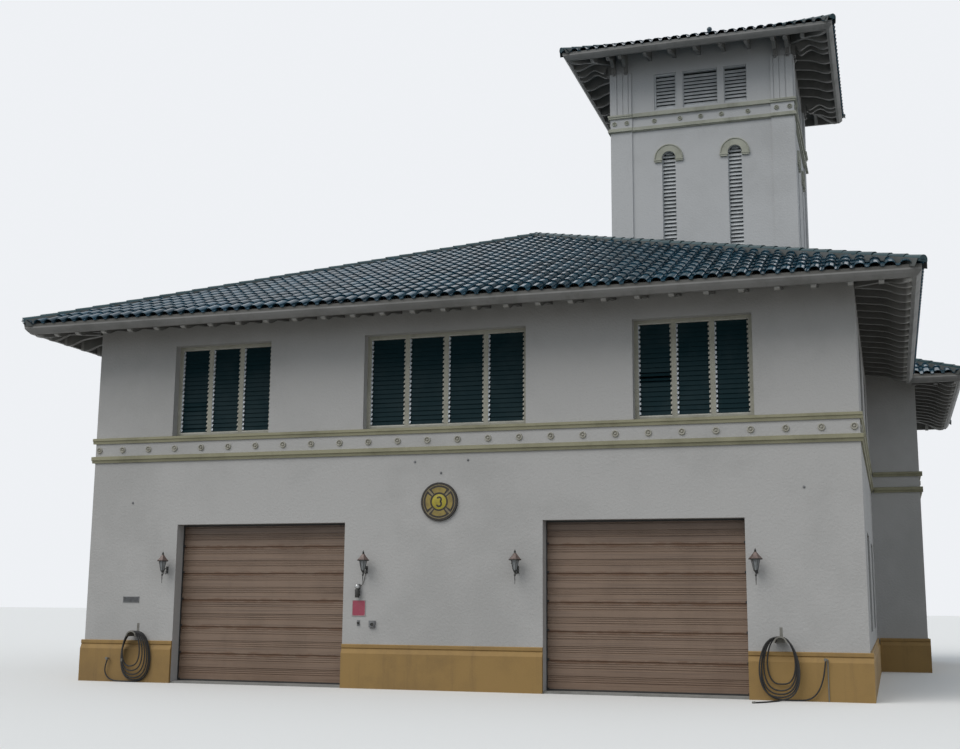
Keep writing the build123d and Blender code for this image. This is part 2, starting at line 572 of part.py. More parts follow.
def make_rafters():
    tail = rafter_tail(MAIN_EAVE_UNDER, ROOF_SLOPE)
    side_tail = rafter_tail(MAIN_EAVE_UNDER, SIDE_SLOPE)
    inset = FASCIA_BACK + RAFTER_WIDTH
    front = [Pos(x, FRONT_EDGE, 0) * tail
             for x in rafter_places(-MAIN_EDGE + RAFTER_FIRST, MAIN_EDGE - RAFTER_FIRST, RAFTER_PITCH)]
    # The outermost ones reach past the hips, so they are cut to the lower side planes.
    front[0] = (front[0] & under_main).solid()
    front[-1] = (front[-1] & under_main).solid()
    right = Location((MAIN_EDGE, 0, 0), (0, 0, 90)) * side_tail
    wing_right = Location((WING_EDGE, 0, 0), (0, 0, 90)) * tail
    back = Location((0, BACK_EDGE, 0), (0, 0, 180)) * tail
    first = FRONT_EDGE + SIDE_RAFTER_FIRST
    count = int((WING_FRONT_EDGE - inset - first) // RAFTER_PITCH)
    sides = [Pos(0, first + i * RAFTER_PITCH, 0) * right for i in range(count + 1)]
    sides += [Pos(0, y, 0) * wing_right for y in rafter_places(
        WING_FRONT_EDGE + RAFTER_FIRST, BACK_EDGE - RAFTER_FIRST, RAFTER_PITCH)]
    sides.append((Pos(WING_EDGE - RAFTER_FIRST, WING_FRONT_EDGE, 0) * tail & under_wing).solid())
    rear = [Pos(x, 0, 0) * back for x in rafter_places(
        -WING_EDGE + RAFTER_FIRST, WING_EDGE - RAFTER_FIRST, RAFTER_PITCH)]

    # Corners: the main block's front ones, and the wing's front and rear ones.
    to_main = Pos(-MAIN_EDGE, FRONT_EDGE, 0)
    to_wing = Pos(-WING_EDGE, WING_FRONT_EDGE, 0)
    to_rear = Location((-WING_EDGE, BACK_EDGE, 0), (0, 0, -90))
    corners = []
    for place, slopes in ((to_main, (ROOF_SLOPE, SIDE_SLOPE)), (to_wing, (ROOF_SLOPE, ROOF_SLOPE)),
                          (to_rear, (ROOF_SLOPE, ROOF_SLOPE))):
        under = (place.inverse() * under_roof)
        corners += [place * piece for piece in corner_tails(MAIN_EAVE_UNDER, slopes, JACK_RAFTER, under)]
    save("main_rafters", *front, *both_sides(sides + corners), *rear)


def tower_side(turn):
    """Places a piece drawn for the tower's front, centred at X = 0 on its face at Y = 0."""
    return Location((TOWER_X, TOWER_CENTRE_Y, 0), (0, 0, 90 * turn)) * Pos(0, -TOWER_HALF, 0)


def slit_space(offset, margin, depth):
    """The arched slit, or its hood's outer line when a margin is given."""
    half = SLIT_WIDTH / 2 + margin
    body = block((offset - half, offset + half), depth, (SLIT_FOOT, SLIT_SPRING))
    head = Location((offset, depth[0], SLIT_SPRING), (-90, 0, 0)) * extrude(
        make_face(Circle(half).edge()), amount=depth[1] - depth[0])
    return body + head


def louvre_spaces(depth):
    high = (LOUVRE_SILL, LOUVRE_SILL + LOUVRE_HEIGHT)
    middle = LOUVRE_MIDDLE_WIDTH / 2
    side = middle + LOUVRE_POST
    return [block((-middle, middle), depth, high),
            block((side, side + LOUVRE_SIDE_WIDTH), depth, high),
            block((-side - LOUVRE_SIDE_WIDTH, -side), depth, high)]


def make_tower_walls():
    through = (-TOWER_WALL, 2 * TOWER_WALL)
    walls = []
    for turn in range(4):
        half = TOWER_HALF - (TOWER_WALL if turn % 2 else 0)
        wall = block((-half, half), (0, TOWER_WALL), (0, HEIGHT_LIMIT))
        for space in louvre_spaces(through):
            wall -= space
        for offset in (-SLIT_OFFSET, SLIT_OFFSET):
            wall -= slit_space(offset, 0, through)
        walls.append(((tower_side(turn) * wall) & under_tower_roof).solid())
    save("tower_front_and_back_walls", walls[0], walls[2])
    save("tower_side_walls", walls[1], walls[3])


def make_tower_trim():
    pilasters, panels, hoods, frieze = [], [], [], []
    inset = (LOUVRE_RECESS, LOUVRE_RECESS + LOUVRE_PANEL)
    eave_at_wall = roof_under(EAVE_OUT, TOWER_EAVE_UNDER, TOWER_SLOPE)
    on_roof = Pos(0, 0, ROOF_THICK) * under_roof
    for turn in range(4):
        place = tower_side(turn)
        # Corner pilasters stop short of each other at the corners and under the frieze and the brackets.
        reach = TOWER_HALF + (PILASTER_OUT if turn % 2 == 0 else -CORNER_JOINT)
        for sign in (-1, 1):
            x = sorted((sign * (TOWER_HALF - PILASTER_WIDTH), sign * reach))
            above = block(x, (-PILASTER_OUT, 0), (FRIEZE_HIGH, eave_at_wall - BRACKET_HEIGHT))
            below = place * block(x, (-PILASTER_OUT, 0), (MAIN_EAVE_UNDER, FRIEZE_LOW))
            pilasters += [place * above, (below - on_roof).solid()]
        for foot in (FRIEZE_LOW, FRIEZE_HIGH - FRIEZE_BAR):
            reach = TOWER_HALF + (FRIEZE_OUT if turn % 2 == 0 else -CORNER_JOINT)
            frieze.append(place * block((-reach, reach), (-FRIEZE_OUT, 0), (foot, foot + FRIEZE_BAR)))
        for space in louvre_spaces(inset):
            panels.append(place * space)
        for offset in (-SLIT_OFFSET, SLIT_OFFSET):
            panels.append((place * slit_space(offset, 0, inset)).solid())
            hood = slit_space(offset, HOOD_WIDTH, (-HOOD_OUT, 0)) - slit_space(offset, 0, (-2 * HOOD_OUT, HOOD_OUT))
            hood &= block((offset - TOWER_HALF, offset + TOWER_HALF), (-HOOD_OUT, 0), (SLIT_SPRING - 40, HEIGHT_LIMIT))
            hoods.append((place * hood).solid())
    save("tower_pilasters", *pilasters)
    save("tower_louvre_panels", *panels)
    save("tower_mouldings", *frieze, *hoods)


def bracket():
    """A scrolled console over a pilaster, at X = 0 on a tower face, running out under the rafters."""
    eave_at_wall = roof_under(EAVE_OUT, TOWER_EAVE_UNDER, TOWER_SLOPE)
    foot = eave_at_wall - BRACKET_HEIGHT
    out = EAVE_OUT - FASCIA_BACK
    top_out = roof_under(FASCIA_BACK, TOWER_EAVE_UNDER, TOWER_SLOPE)
    with BuildSketch(Plane(origin=(-RAFTER_WIDTH / 2, 0, 0), x_dir=(0, 1, 0), z_dir=(1, 0, 0))) as side:
        with BuildLine():
            Polyline((-PILASTER_OUT - 60, foot), (0, foot), (0, eave_at_wall), (-out, top_out),
                     (-out, top_out - RAFTER_TAIL_DEPTH + RAFTER_TAIL_NOSE))
            Spline([(-out, top_out - RAFTER_TAIL_DEPTH + RAFTER_TAIL_NOSE),
                    (-0.8 * out, top_out - RAFTER_TAIL_DEPTH), (-0.5 * out, top_out - 0.45 * RAFTER_TAIL_DEPTH),
                    (-0.22 * out, top_out - 0.9 * RAFTER_TAIL_DEPTH), (-0.16 * out, foot + 0.35 * BRACKET_HEIGHT),
                    (-PILASTER_OUT - 60, foot)])
        make_face()
    return extrude(side.sketch, amount=RAFTER_WIDTH).solid()


def make_tower_eaves():
    tail = Pos(0, -EAVE_OUT, 0) * rafter_tail(TOWER_EAVE_UNDER, TOWER_SLOPE)
    console = bracket()
    corner = Pos(TOWER_X - TOWER_EDGE, TOWER_CENTRE_Y - TOWER_EDGE, 0)
    at_corner = corner_tails(TOWER_EAVE_UNDER, (TOWER_SLOPE, TOWER_SLOPE), TOWER_JACK_RAFTER,
                             corner.inverse() * under_tower_roof)
    to_centre = Pos(-TOWER_EDGE, -TOWER_EDGE, 0)
    rafters, brackets = [], []
    for turn in range(4):
        place = tower_side(turn)
        rafters += [place * Pos(i * TOWER_RAFTER_PITCH, 0, 0) * tail for i in range(-2, 3)]
        turned = Location((TOWER_X, TOWER_CENTRE_Y, 0), (0, 0, 90 * turn)) * to_centre
        rafters += [turned * piece for piece in at_corner]
        brackets += [place * Pos(sign * x, 0, 0) * console for x in BRACKET_OFFSETS for sign in (-1, 1)]
    save("tower_rafters", *rafters)
    save("tower_brackets", *brackets)


def make_tower_roof():
    from_edge = lambda x, y: TOWER_EDGE + y
    corner = TOWER_EDGE
    half_joint = CORNER_JOINT / 2
    plane = roof_plate([(-corner + 2 * half_joint, -corner), (corner - 2 * half_joint, -corner),
                        (0, -2 * half_joint)], from_edge, TOWER_EAVE_UNDER, TOWER_SLOPE)
    planes = [Rot(0, 0, 90 * turn) * plane for turn in range(4)]
    centre = Pos(TOWER_X, TOWER_CENTRE_Y, 0)
    save("tower_roof", *[(centre * p).solid() for p in planes])
    apex = roof_under(TOWER_EDGE, TOWER_EAVE_UNDER, TOWER_SLOPE) + ROOF_THICK
    stem_foot = apex - TOWER_SLOPE * FINIAL_STEM
    stem = Pos(0, 0, stem_foot) * Solid.make_cylinder(FINIAL_STEM, apex + FINIAL_HEIGHT - stem_foot)
    ball = Pos(0, 0, apex + FINIAL_HEIGHT) * Solid.make_sphere(FINIAL_BALL, angle1=-90, angle2=90)
    finial = stem + ball
    for p in planes:
        finial -= p
    save("tower_finial", (centre * finial).solid())


def make_lanterns():
    """Four wall lanterns: a back plate, an arm, and a six-sided tapered body with cap and tail."""
    lanterns = []
    out = 190
    for x in LANTERN_X:
        for sign in (-1, 1):
            plate = block((-45, 45), (-18, 0), (LANTERN_TOP - 420, LANTERN_TOP - 180))
            arm = block((-12, 12), (-out, 0), (LANTERN_TOP - 470, LANTERN_TOP - 440))
            arm += block((-12, 12), (-18, 0), (LANTERN_TOP - 470, LANTERN_TOP - 400))
            body = Pos(0, -out, LANTERN_TOP - 440) * loft([
                RegularPolygon(55, 6), Pos(0, 0, 270) * RegularPolygon(95, 6)])
            cap = Pos(0, -out, LANTERN_TOP - 170) * loft([
                RegularPolygon(115, 6), Pos(0, 0, 110) * RegularPolygon(22, 6)])
            knob = Pos(0, -out, LANTERN_TOP - 60) * Solid.make_cylinder(14, 60)
            tail = Pos(0, -out, LANTERN_TOP - 620) * Solid.make_cone(8, 40, 180)
            lantern = plate + arm + body + cap + knob + tail
            lanterns.append(Pos(sign * x, 0, 0) * lantern.solid())
    save("wall_lanterns", *lanterns)


def disc(x, z, radius, thick):
    """A round plate on the front wall's face."""
    return Location((x, 0, z), (90, 0, 0)) * Solid.make_cylinder(radius, thick)


def coil_outline(coil, loop, offset):
    """Outline of the coil's inner (0) or outer (1) loop, moved out by an offset, seen from the front."""
    middle_x = coil["x"][loop]
    half = coil["half"][loop] + offset
    foot = coil["foot"][loop] - offset
    top = coil["top"] + offset
    points = []
    for i in range(96):
        turn = math.tau * i / 96
        side = math.copysign(abs(math.sin(turn)) ** 0.8, math.sin(turn))
        x = middle_x + half * side * (1 + 0.12 * math.cos(turn))
        points.append((x, (foot + top) / 2 - (top - foot) / 2 * math.cos(turn)))
    return points


def hose_coil(coil):
    """The outer shape of the hung turns: a flat egg-shaped ring."""
    depth = coil["pitch"] * coil["turns"] + HOSE
    plane = Plane(origin=(0, -PLINTH_OUT - HOSE_CLEAR, 0), x_dir=(1, 0, 0), z_dir=(0, -1, 0))
    outer = prism(coil_outline(coil, 1, HOSE / 2), depth, plane)
    inner = prism(coil_outline(coil, 0, -HOSE / 2), depth, plane)
    return (outer - inner).solid()


def hose_tube(name, points):
    """The stretch of hose that lies outside a coil: straight runs joined by tangent arcs."""
    radii = []
    for before, corner, after in zip(points, points[1:], points[2:]):
        into = Vector(corner) - Vector(before)
        out = Vector(after) - Vector(corner)
        half_turn = math.radians(into.get_angle(out)) / 2
        radii.append(0.45 * min(into.length, out.length) / math.tan(half_turn))
    path = FilletPolyline(*points, radius=radii)
    start = Plane(origin=points[0], z_dir=Vector(points[1]) - Vector(points[0]))
    tube = sweep(start * Circle(HOSE / 2), path=path).solid()
    print(name, "radii", [round(r) for r in radii], "length", round(path.length),
          "volume ratio", round(tube.volume / (math.pi * HOSE ** 2 / 4 * path.length), 4))
    return tube


def hose_hanger(coil):
    """A saddle of bent sheet on the wall, with a front lip, a back plate and a tongue above the coil."""
    depth = PLINTH_OUT + HOSE_CLEAR + coil["pitch"] * coil["turns"] + HOSE + 2 * HANGER_SHEET
    seat = coil["top"] - HOSE / 2 - HANGER_SEAT
    centre = (coil["x"][0], seat - HANGER_RADIUS)
    plane = Plane(origin=(0, 0, 0), x_dir=(1, 0, 0), z_dir=(0, -1, 0))
    drum = plane * Pos(*centre) * Circle(HANGER_RADIUS)
    bore = plane * Pos(*centre) * Circle(HANGER_RADIUS - HANGER_SHEET)
    upper = block((centre[0] - 2 * HANGER_RADIUS, centre[0] + 2 * HANGER_RADIUS), (-2 * depth, 0),
                  (centre[1], coil["top"] + HANGER_RADIUS))
    saddle = (extrude(drum, amount=depth) - extrude(bore, amount=depth)) & upper
    back = extrude(drum, amount=HANGER_SHEET) & upper
    tongue = block((centre[0] - HANGER_TONGUE / 2, centre[0] + HANGER_TONGUE / 2), (-HANGER_SHEET, 0),
                   (centre[1], coil["top"] + 150))
    rim = plane * Pos(*centre) * Circle(HANGER_RADIUS + 0.8 * HOSE)
    lip = (extrude(rim, amount=HANGER_SHEET) - extrude(bore, amount=HANGER_SHEET)) & upper
    lip = Pos(0, -depth + HANGER_SHEET, 0) * lip
    return (saddle + back + tongue + lip).solid()


def hose_tap(hose):
    """A tap on the plinth: a spout over the hose's start, a stub to the plinth and a wheel in front."""
    x, y, z = hose[0]
    mouth = Plane(origin=hose[0], z_dir=Vector(hose[0]) - Vector(hose[1]))
    spout = extrude(mouth * Circle(0.6 * HOSE), amount=2.2 * TAP_PIPE)
    height = z + 1.4 * TAP_PIPE
    stub = Location((x, -PLINTH_OUT, height), (90, 0, 0)) * Solid.make_cylinder(TAP_PIPE / 2, -y - PLINTH_OUT)
    spindle = Location((x, y, height), (90, 0, 0)) * Solid.make_cylinder(TAP_PIPE / 4, 40)
    wheel = Location((x, y - 32, height), (90, 0, 0)) * Solid.make_cylinder(TAP_WHEEL / 2, 8)
    return spout + stub + spindle + wheel


def make_hoses():
    left_coil = hose_coil(LEFT_COIL)
    right_coil = hose_coil(RIGHT_COIL)
    save("left_hose_coil", left_coil)
    save("right_hose_coil", right_coil)
    save("left_hose_tail", largest(hose_tube("left tail", LEFT_TAIL) - left_coil))
    save("right_hose_tail", largest(hose_tube("right tail", RIGHT_TAIL) - right_coil))
    save("right_hose_end", largest(hose_tube("right end", RIGHT_END) - right_coil))
    end = Vector(RIGHT_END[-1])
    axis = (end - Vector(RIGHT_END[-2])).normalized()
    lift = COUPLING / 2 - end.Z
    right = Plane(origin=end + Vector(0, 0, max(lift, 0)), z_dir=axis)
    left_x, left_half = LEFT_COIL["x"][0], LEFT_COIL["half"][0]
    front = -PLINTH_OUT - HOSE_CLEAR - LEFT_COIL["pitch"] * LEFT_COIL["turns"] - HOSE
    hang = LEFT_COIL["foot"][0] + HOSE
    left = Pos(left_x - left_half, front - COUPLING / 2, hang) * Solid.make_cylinder(COUPLING / 2, COUPLING_LENGTH)
    save("hose_couplings", extrude(right * Circle(COUPLING / 2), amount=COUPLING_LENGTH).solid(), left)
    tap = hose_tap(RIGHT_TAIL)
    riser_x = RIGHT_TAIL[0][0] + 1.6 * TAP_PIPE
    riser_y = -PLINTH_OUT - TAP_PIPE / 2
    height = RIGHT_TAIL[0][2] + 1.4 * TAP_PIPE
    riser = Pos(riser_x, riser_y, 0) * Solid.make_cylinder(TAP_PIPE / 2, height)
    elbow = block((RIGHT_TAIL[0][0], riser_x), (riser_y - TAP_PIPE / 2, -PLINTH_OUT),
                  (height - TAP_PIPE / 2, height + TAP_PIPE / 2))
    brackets = [hose_hanger(LEFT_COIL), hose_hanger(RIGHT_COIL), hose_tap(LEFT_TAIL).solid(),
                (tap + riser + elbow).solid()]
    save("hose_brackets", *brackets)


def largest(shape):
    return max(shape.solids(), key=lambda solid: solid.volume)


def make_fittings():
    make_lanterns()
    make_hoses()
    save("badge", disc(BADGE_X, BADGE_CENTRE_Z, BADGE_DIAMETER / 2, BADGE_THICK))
    half = NOTICE_WIDTH / 2
    save("notice_board", block((NOTICE_X - half, NOTICE_X + half), (-12, 0),
                               (NOTICE_LOW, NOTICE_LOW + NOTICE_HEIGHT)))
    bell = block((BELL_X - 45, BELL_X + 45), (-30, 0), (1700, 1990))
    bell += Location((BELL_X, -30, 1925), (90, 0, 0)) * Solid.make_cylinder(42, 50)
    bell += Pos(BELL_X, -75, 1640) * Solid.make_cylinder(45, 220)
    bell += block((BELL_X - 30, BELL_X + 30), (-60, 0), (1700, 1800))
    save("call_bell", bell.solid())
    box = disc(OUTLET_X, OUTLET_Z, 62, 55)
    knob = disc(KNOB_X, KNOB_Z, 35, 60)
    half = VENT_WIDTH / 2
    vent = block((VENT_X - half, VENT_X + half), (-10, 0), (VENT_LOW, VENT_LOW + VENT_HEIGHT))
    save("wall_boxes", box, knob, vent)


make_floors()
make_walls()
make_windows()
make_doors()
make_plinth_and_belt()
make_main_roof()
make_fascias()
make_rafters()
make_tower_walls()
make_tower_trim()
make_tower_eaves()
make_tower_roof()
make_fittings()
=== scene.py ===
import math
import bmesh
import bpy
import numpy as np
from mathutils import Matrix, Vector


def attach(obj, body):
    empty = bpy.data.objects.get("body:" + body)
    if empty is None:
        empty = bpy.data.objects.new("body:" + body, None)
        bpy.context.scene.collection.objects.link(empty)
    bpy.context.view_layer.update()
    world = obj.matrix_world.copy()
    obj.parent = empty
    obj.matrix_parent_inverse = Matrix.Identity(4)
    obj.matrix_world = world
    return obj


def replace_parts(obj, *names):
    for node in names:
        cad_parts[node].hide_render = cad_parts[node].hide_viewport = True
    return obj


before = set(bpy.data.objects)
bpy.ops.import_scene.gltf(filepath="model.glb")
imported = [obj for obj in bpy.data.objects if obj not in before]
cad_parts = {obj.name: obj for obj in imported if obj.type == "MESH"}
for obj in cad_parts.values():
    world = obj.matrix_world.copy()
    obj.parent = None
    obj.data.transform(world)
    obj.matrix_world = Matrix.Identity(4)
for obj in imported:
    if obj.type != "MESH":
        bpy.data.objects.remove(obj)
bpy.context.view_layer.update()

# Floors: the slab on the ground with a sill in each doorway, and the upper floor on the walls.
# Cast concrete, floated smooth, then stained and rubbed pale by wheels and boots.
def part_node(tree, kind, inputs=(), **settings):
    """Adds one node. Its inputs are values, or sockets of other nodes to link from."""
    made = tree.nodes.new("ShaderNode" + kind)
    for setting, value in settings.items():
        setattr(made, setting, value)
    for socket, value in dict(inputs).items():
        if isinstance(value, bpy.types.NodeSocket):
            tree.links.new(value, made.inputs[socket])
        else:
            made.inputs[socket].default_value = value
    return made


def maths(tree, operation, first, second=0.0, clamp=False):
    return part_node(tree, "Math", {0: first, 1: second}, operation=operation, use_clamp=clamp).outputs[0]


def tint(tree, factor, below, above, blend="MIX"):
    """One colour over another, by a factor."""
    mix = part_node(tree, "Mix", {0: factor, 6: below, 7: above}, data_type="RGBA", blend_type=blend)
    return mix.outputs[2]


def band(tree, value, low, high, to_low=0.0, to_high=1.0):
    """A smooth step of a value between two limits."""
    step = part_node(tree, "MapRange", {0: value, 1: low, 2: high, 3: to_low, 4: to_high},
                     interpolation_type="SMOOTHSTEP")
    return step.outputs[0]


def noise(tree, place, scale, detail, roughness):
    values = {"Vector": place, "Scale": scale, "Detail": detail, "Roughness": roughness}
    return part_node(tree, "TexNoise", values).outputs[0]


def stretched(tree, place, scale):
    """The same place, scaled by axis: a mark is drawn out along an axis of small scale."""
    return part_node(tree, "Mapping", {"Vector": place, "Scale": scale}).outputs[0]


def new_group(name, inputs, outputs):
    """An empty shader group with named inputs (number or colour) and named outputs."""
    group = bpy.data.node_groups.new(name, "ShaderNodeTree")
    for label, value in inputs.items():
        kind = "NodeSocketColor" if isinstance(value, tuple) else "NodeSocketFloat"
        group.interface.new_socket(label, in_out="INPUT", socket_type=kind).default_value = value
    for label, kind in outputs.items():
        group.interface.new_socket(label, in_out="OUTPUT", socket_type="NodeSocket" + kind)
    return group, group.nodes.new("NodeGroupInput").outputs, group.nodes.new("NodeGroupOutput").inputs


def make_weathering():
    """Patches, rain streaks, speckle and fine grain, the marks that every outdoor face here carries."""
    group, given, result = new_group(
        "weathering",
        {"Color": (0.5, 0.5, 0.5, 1), "Stain": (0.2, 0.2, 0.2, 1), "Patch Size": 0.1, "Patches": 0.3,
         "Streaks": 0.2, "Speckle": 0.3, "Grain Size": 0.01, "Grain Height": 0.0006, "Roughness": 0.5},
        {"Color": "Color", "Roughness": "Float", "Normal": "Vector", "Marks": "Float"})
    place = part_node(group, "TexCoord").outputs["Object"]
    scale = maths(group, "DIVIDE", 1.0, given["Patch Size"])
    cloud = noise(group, place, scale, 6.0, 0.62)
    patches = maths(group, "MULTIPLY", band(group, cloud, 0.42, 0.68), given["Patches"])
    runs = noise(group, stretched(group, place, (1, 1, 0.07)), 5.5, 5.0, 0.7)
    streaks = maths(group, "MULTIPLY", band(group, runs, 0.5, 0.78), given["Streaks"])
    fine = noise(group, place, 38.0, 4.0, 0.75)
    speckle = maths(group, "MULTIPLY", maths(group, "SUBTRACT", fine, 0.5), given["Speckle"])
    marks = maths(group, "ADD", maths(group, "ADD", patches, streaks), speckle, clamp=True)
    group.links.new(tint(group, marks, given["Color"], given["Stain"]), result["Color"])
    spread = maths(group, "MULTIPLY", maths(group, "SUBTRACT", cloud, 0.5), 0.25)
    group.links.new(maths(group, "ADD", given["Roughness"], spread, clamp=True), result["Roughness"])
    pitch = maths(group, "DIVIDE", 1.0, given["Grain Size"])
    grain = noise(group, place, pitch, 3.0, 0.6)
    bump = part_node(group, "Bump", {"Height": grain, "Distance": given["Grain Height"]})
    group.links.new(bump.outputs[0], result["Normal"])
    group.links.new(marks, result["Marks"])
    return group


weathering = make_weathering()


def new_finish(name, roughness=0.8, **sockets):
    """A material with its Principled shader. Constant sockets are named as on the shader."""
    material = bpy.data.materials.new(name)
    material.use_nodes = True
    shader = material.node_tree.nodes["Principled BSDF"]
    shader.inputs["Roughness"].default_value = roughness
    for label, value in sockets.items():
        shader.inputs[label.replace("_", " ")].default_value = value
    return material, material.node_tree, shader


def place_group(tree, group, **values):
    """A group set into a material with that material's own values."""
    made = tree.nodes.new("ShaderNodeGroup")
    made.node_tree = group
    for label, value in values.items():
        made.inputs[label.replace("_", " ")].default_value = value
    return made


def weathered(name, colour, stain, shader_values=None, **values):
    """A whole finish from the weathering group. Returns the material, its tree, shader and group node.

    Values that aren't given are the group's own.
    """
    material, tree, shader = new_finish(name, **(shader_values or {}))
    wear = place_group(tree, weathering, Color=(*colour, 1), Stain=(*stain, 1), **values)
    for label in ("Color", "Roughness", "Normal"):
        tree.links.new(wear.outputs[label], shader.inputs["Base Color" if label == "Color" else label])
    return material, tree, shader, wear


def paint_node(material, *names):
    """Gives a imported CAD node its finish."""
    for name in names:
        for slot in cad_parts[name].material_slots:
            slot.link = "OBJECT"
            slot.material = material


concrete = weathered("concrete", (0.27, 0.265, 0.25), (0.12, 0.115, 0.1), Patch_Size=0.9, Patches=0.5,
                     Streaks=0.0, Speckle=0.35, Grain_Size=0.006, Grain_Height=0.0012, Roughness=0.82)[0]
paint_node(concrete, "ground_floor", "upper_floor")

# Walls: masonry under a trowelled cement render with a coarse grain, painted off-white. The paint is
# clean but for faint grey patches and a few weak runs.
def make_stucco(name, colour):
    return weathered(name, colour, (0.2, 0.2, 0.19), Patch_Size=2.6, Patches=0.2, Streaks=0.04,
                     Grain_Size=0.05, Grain_Height=0.008, Roughness=0.9)[0]


main_stucco = make_stucco("painted stucco", (0.475, 0.468, 0.458))
tower_stucco = make_stucco("tower stucco", (0.51, 0.515, 0.52))
paint_node(main_stucco, "front_wall", "left_wall", "right_wall", "back_wall", "wing_walls")
paint_node(tower_stucco, "tower_front_and_back_walls", "tower_side_walls", "tower_pilasters")

# Plinth: cast cement with a splayed body, a groove and a lip, painted ochre down to the ground.
# Boots and rain splash have browned its foot and rubbed the paint thin.
plinth_paint = weathered("ochre plinth paint", (0.33, 0.205, 0.068), (0.14, 0.09, 0.045), Patch_Size=1.4,
                         Patches=0.4, Streaks=0.3, Grain_Size=0.02, Grain_Height=0.0025, Roughness=0.75)[0]
paint_node(plinth_paint, "plinth")

# Belt course: two run cement mouldings round the building at the upper floor, painted olive, with a
# plain band between them for a row of round ornaments.
belt_paint = weathered("olive moulding paint", (0.31, 0.295, 0.195), (0.11, 0.105, 0.065), Patch_Size=0.8,
                       Patches=0.35, Grain_Size=0.015, Grain_Height=0.0015, Roughness=0.7)[0]
paint_node(belt_paint, "belt_course")

# Rosettes: cast cement rings with a round boss, bedded on the band between the belt's mouldings
# at the spacing of the rafters.
ROSETTE_PITCH = 0.61
ROSETTE_HEIGHT = 4.671
WALL_END = 9
MAIN_SIDE = 7.66
WING_SIDE = 8.84
SIDES = (("right", 1), ("left", -1))


def wall_place(side, face=0.0):
    """From a wall's own coordinates (along it, in from its face, up) to the building."""
    places = {"front": ((0, -WALL_END, 0), 0), "back": ((0, WALL_END, 0), 180),
              "right": ((face, -WALL_END, 0), 90), "left": ((-face, -WALL_END, 0), -90)}
    foot, turn = places[side]
    return Matrix.Translation(foot) @ Matrix.Rotation(math.radians(turn), 4, "Z")


def join(shape, loops, sides):
    """Faces between each closed loop and the next. A loop may be one point."""
    for low, high in zip(loops, loops[1:]):
        for i in range(sides):
            corners = [low[i % len(low)], low[(i + 1) % len(low)], high[(i + 1) % len(high)],
                       high[i % len(high)]]
            shape.faces.new(list(dict.fromkeys(corners)))


def strip(shape, rows):
    """Faces between each open row of corners and the next."""
    for low, high in zip(rows, rows[1:]):
        for k in range(len(low) - 1):
            shape.faces.new((low[k], low[k + 1], high[k + 1], high[k]))


def rings(shape, place, centre, outline, sides=24):
    """A turned shape on a wall. outline gives radius and way out of the wall, from end to end."""
    loops = []
    for radius, out in outline:
        steps = [math.tau * i / sides for i in range(sides)] if radius else [0.0]
        loops.append([shape.verts.new(place @ Vector((centre[0] + radius * math.cos(a), centre[1] - out,
                                                      centre[2] + radius * math.sin(a)))) for a in steps])
    join(shape, loops, sides)


def add_piece(name, shape, material, smooth=None, outward=True):
    """Turns a bmesh into a piece. smooth is the angle in degrees below which edges shade round."""
    if outward:
        bmesh.ops.recalc_face_normals(shape, faces=shape.faces)
    mesh = bpy.data.meshes.new(name)
    shape.to_mesh(mesh)
    shape.free()
    if smooth:
        mesh.shade_smooth()
        mesh.set_sharp_from_angle(angle=math.radians(smooth))
    mesh.materials.append(material)
    piece = bpy.data.objects.new(name, mesh)
    bpy.context.scene.collection.objects.link(piece)
    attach(piece, "root")
    return piece


ROSETTE = ((0.064, 0), (0.063, 0.018), (0.056, 0.03), (0.047, 0.031), (0.038, 0.018), (0.034, 0.004),
           (0.024, 0.005), (0.021, 0.022), (0.012, 0.031), (0, 0.033))


def rosette_row(shape, place, places, height=ROSETTE_HEIGHT, out=0.0):
    for x in places:
        rings(shape, place, (x, -out, height), ROSETTE, 28)


shape = bmesh.new()
front_place = wall_place("front")
front_row = [(i - 11.5) * ROSETTE_PITCH for i in range(24)]
corner_ones = [-7.567, 7.567]
rosette_row(shape, front_place, front_row + corner_ones)
main_row = [0.32 + i * ROSETTE_PITCH for i in range(17)]
wing_row = [11.35 + i * ROSETTE_PITCH for i in range(11)]
for side, way in SIDES:
    rosette_row(shape, wall_place(side, MAIN_SIDE), [way * y for y in main_row])
    rosette_row(shape, wall_place(side, WING_SIDE), [way * y for y in wing_row])
rosette_row(shape, wall_place("back"), [(i - 14) * ROSETTE_PITCH for i in range(29)])
rosette_paint = weathered("rosette paint", (0.43, 0.415, 0.36), (0.2, 0.19, 0.15), Patch_Size=0.4,
                          Speckle=0.4, Grain_Height=0.001, Roughness=0.8)[0]
add_piece("belt_rosettes", shape, rosette_paint, 35)

# Window frames: painted wood with mullions, set well back in the wall, over the moulding that is their
# sill. Each light has a channel up both sides and a rail at both ends, with a clip for every blade: bare
# aluminium at its left end and cream paint at its right.
UPPER_SILL = 4.925
LOWER_SILL = 1.1
NARROW, WIDE = (2.18, 3), (3.3, 4)
FRAME_EDGE = 0.08
MULLION = 0.09
BLADE_PITCH = 0.0898
BLADES = 19
BLADE_SIZE = (0.006, 0.103)
CLIP_SIZE = (0.014, 0.056)
CHANNEL_SIZE = (0.004, 0.06, 1.75)
RAIL_DEPTH = 0.055
FRONT_WINDOWS = [(x, kind, UPPER_SILL) for x, kind in ((-4.78, NARROW), (0, WIDE), (4.78, NARROW))]
BACK_WINDOWS = FRONT_WINDOWS + [(x, NARROW, LOWER_SILL) for x in (-4.78, 4.78)]
# Further tilt in degrees of the blades that have slipped, by window, light and blade.
SLIPPED = {(2, 0, 7): 38, (2, 0, 8): 34, (0, 0, 6): 12, (0, 0, 5): 9, (0, 0, 0): 14, (0, 0, 1): 8}

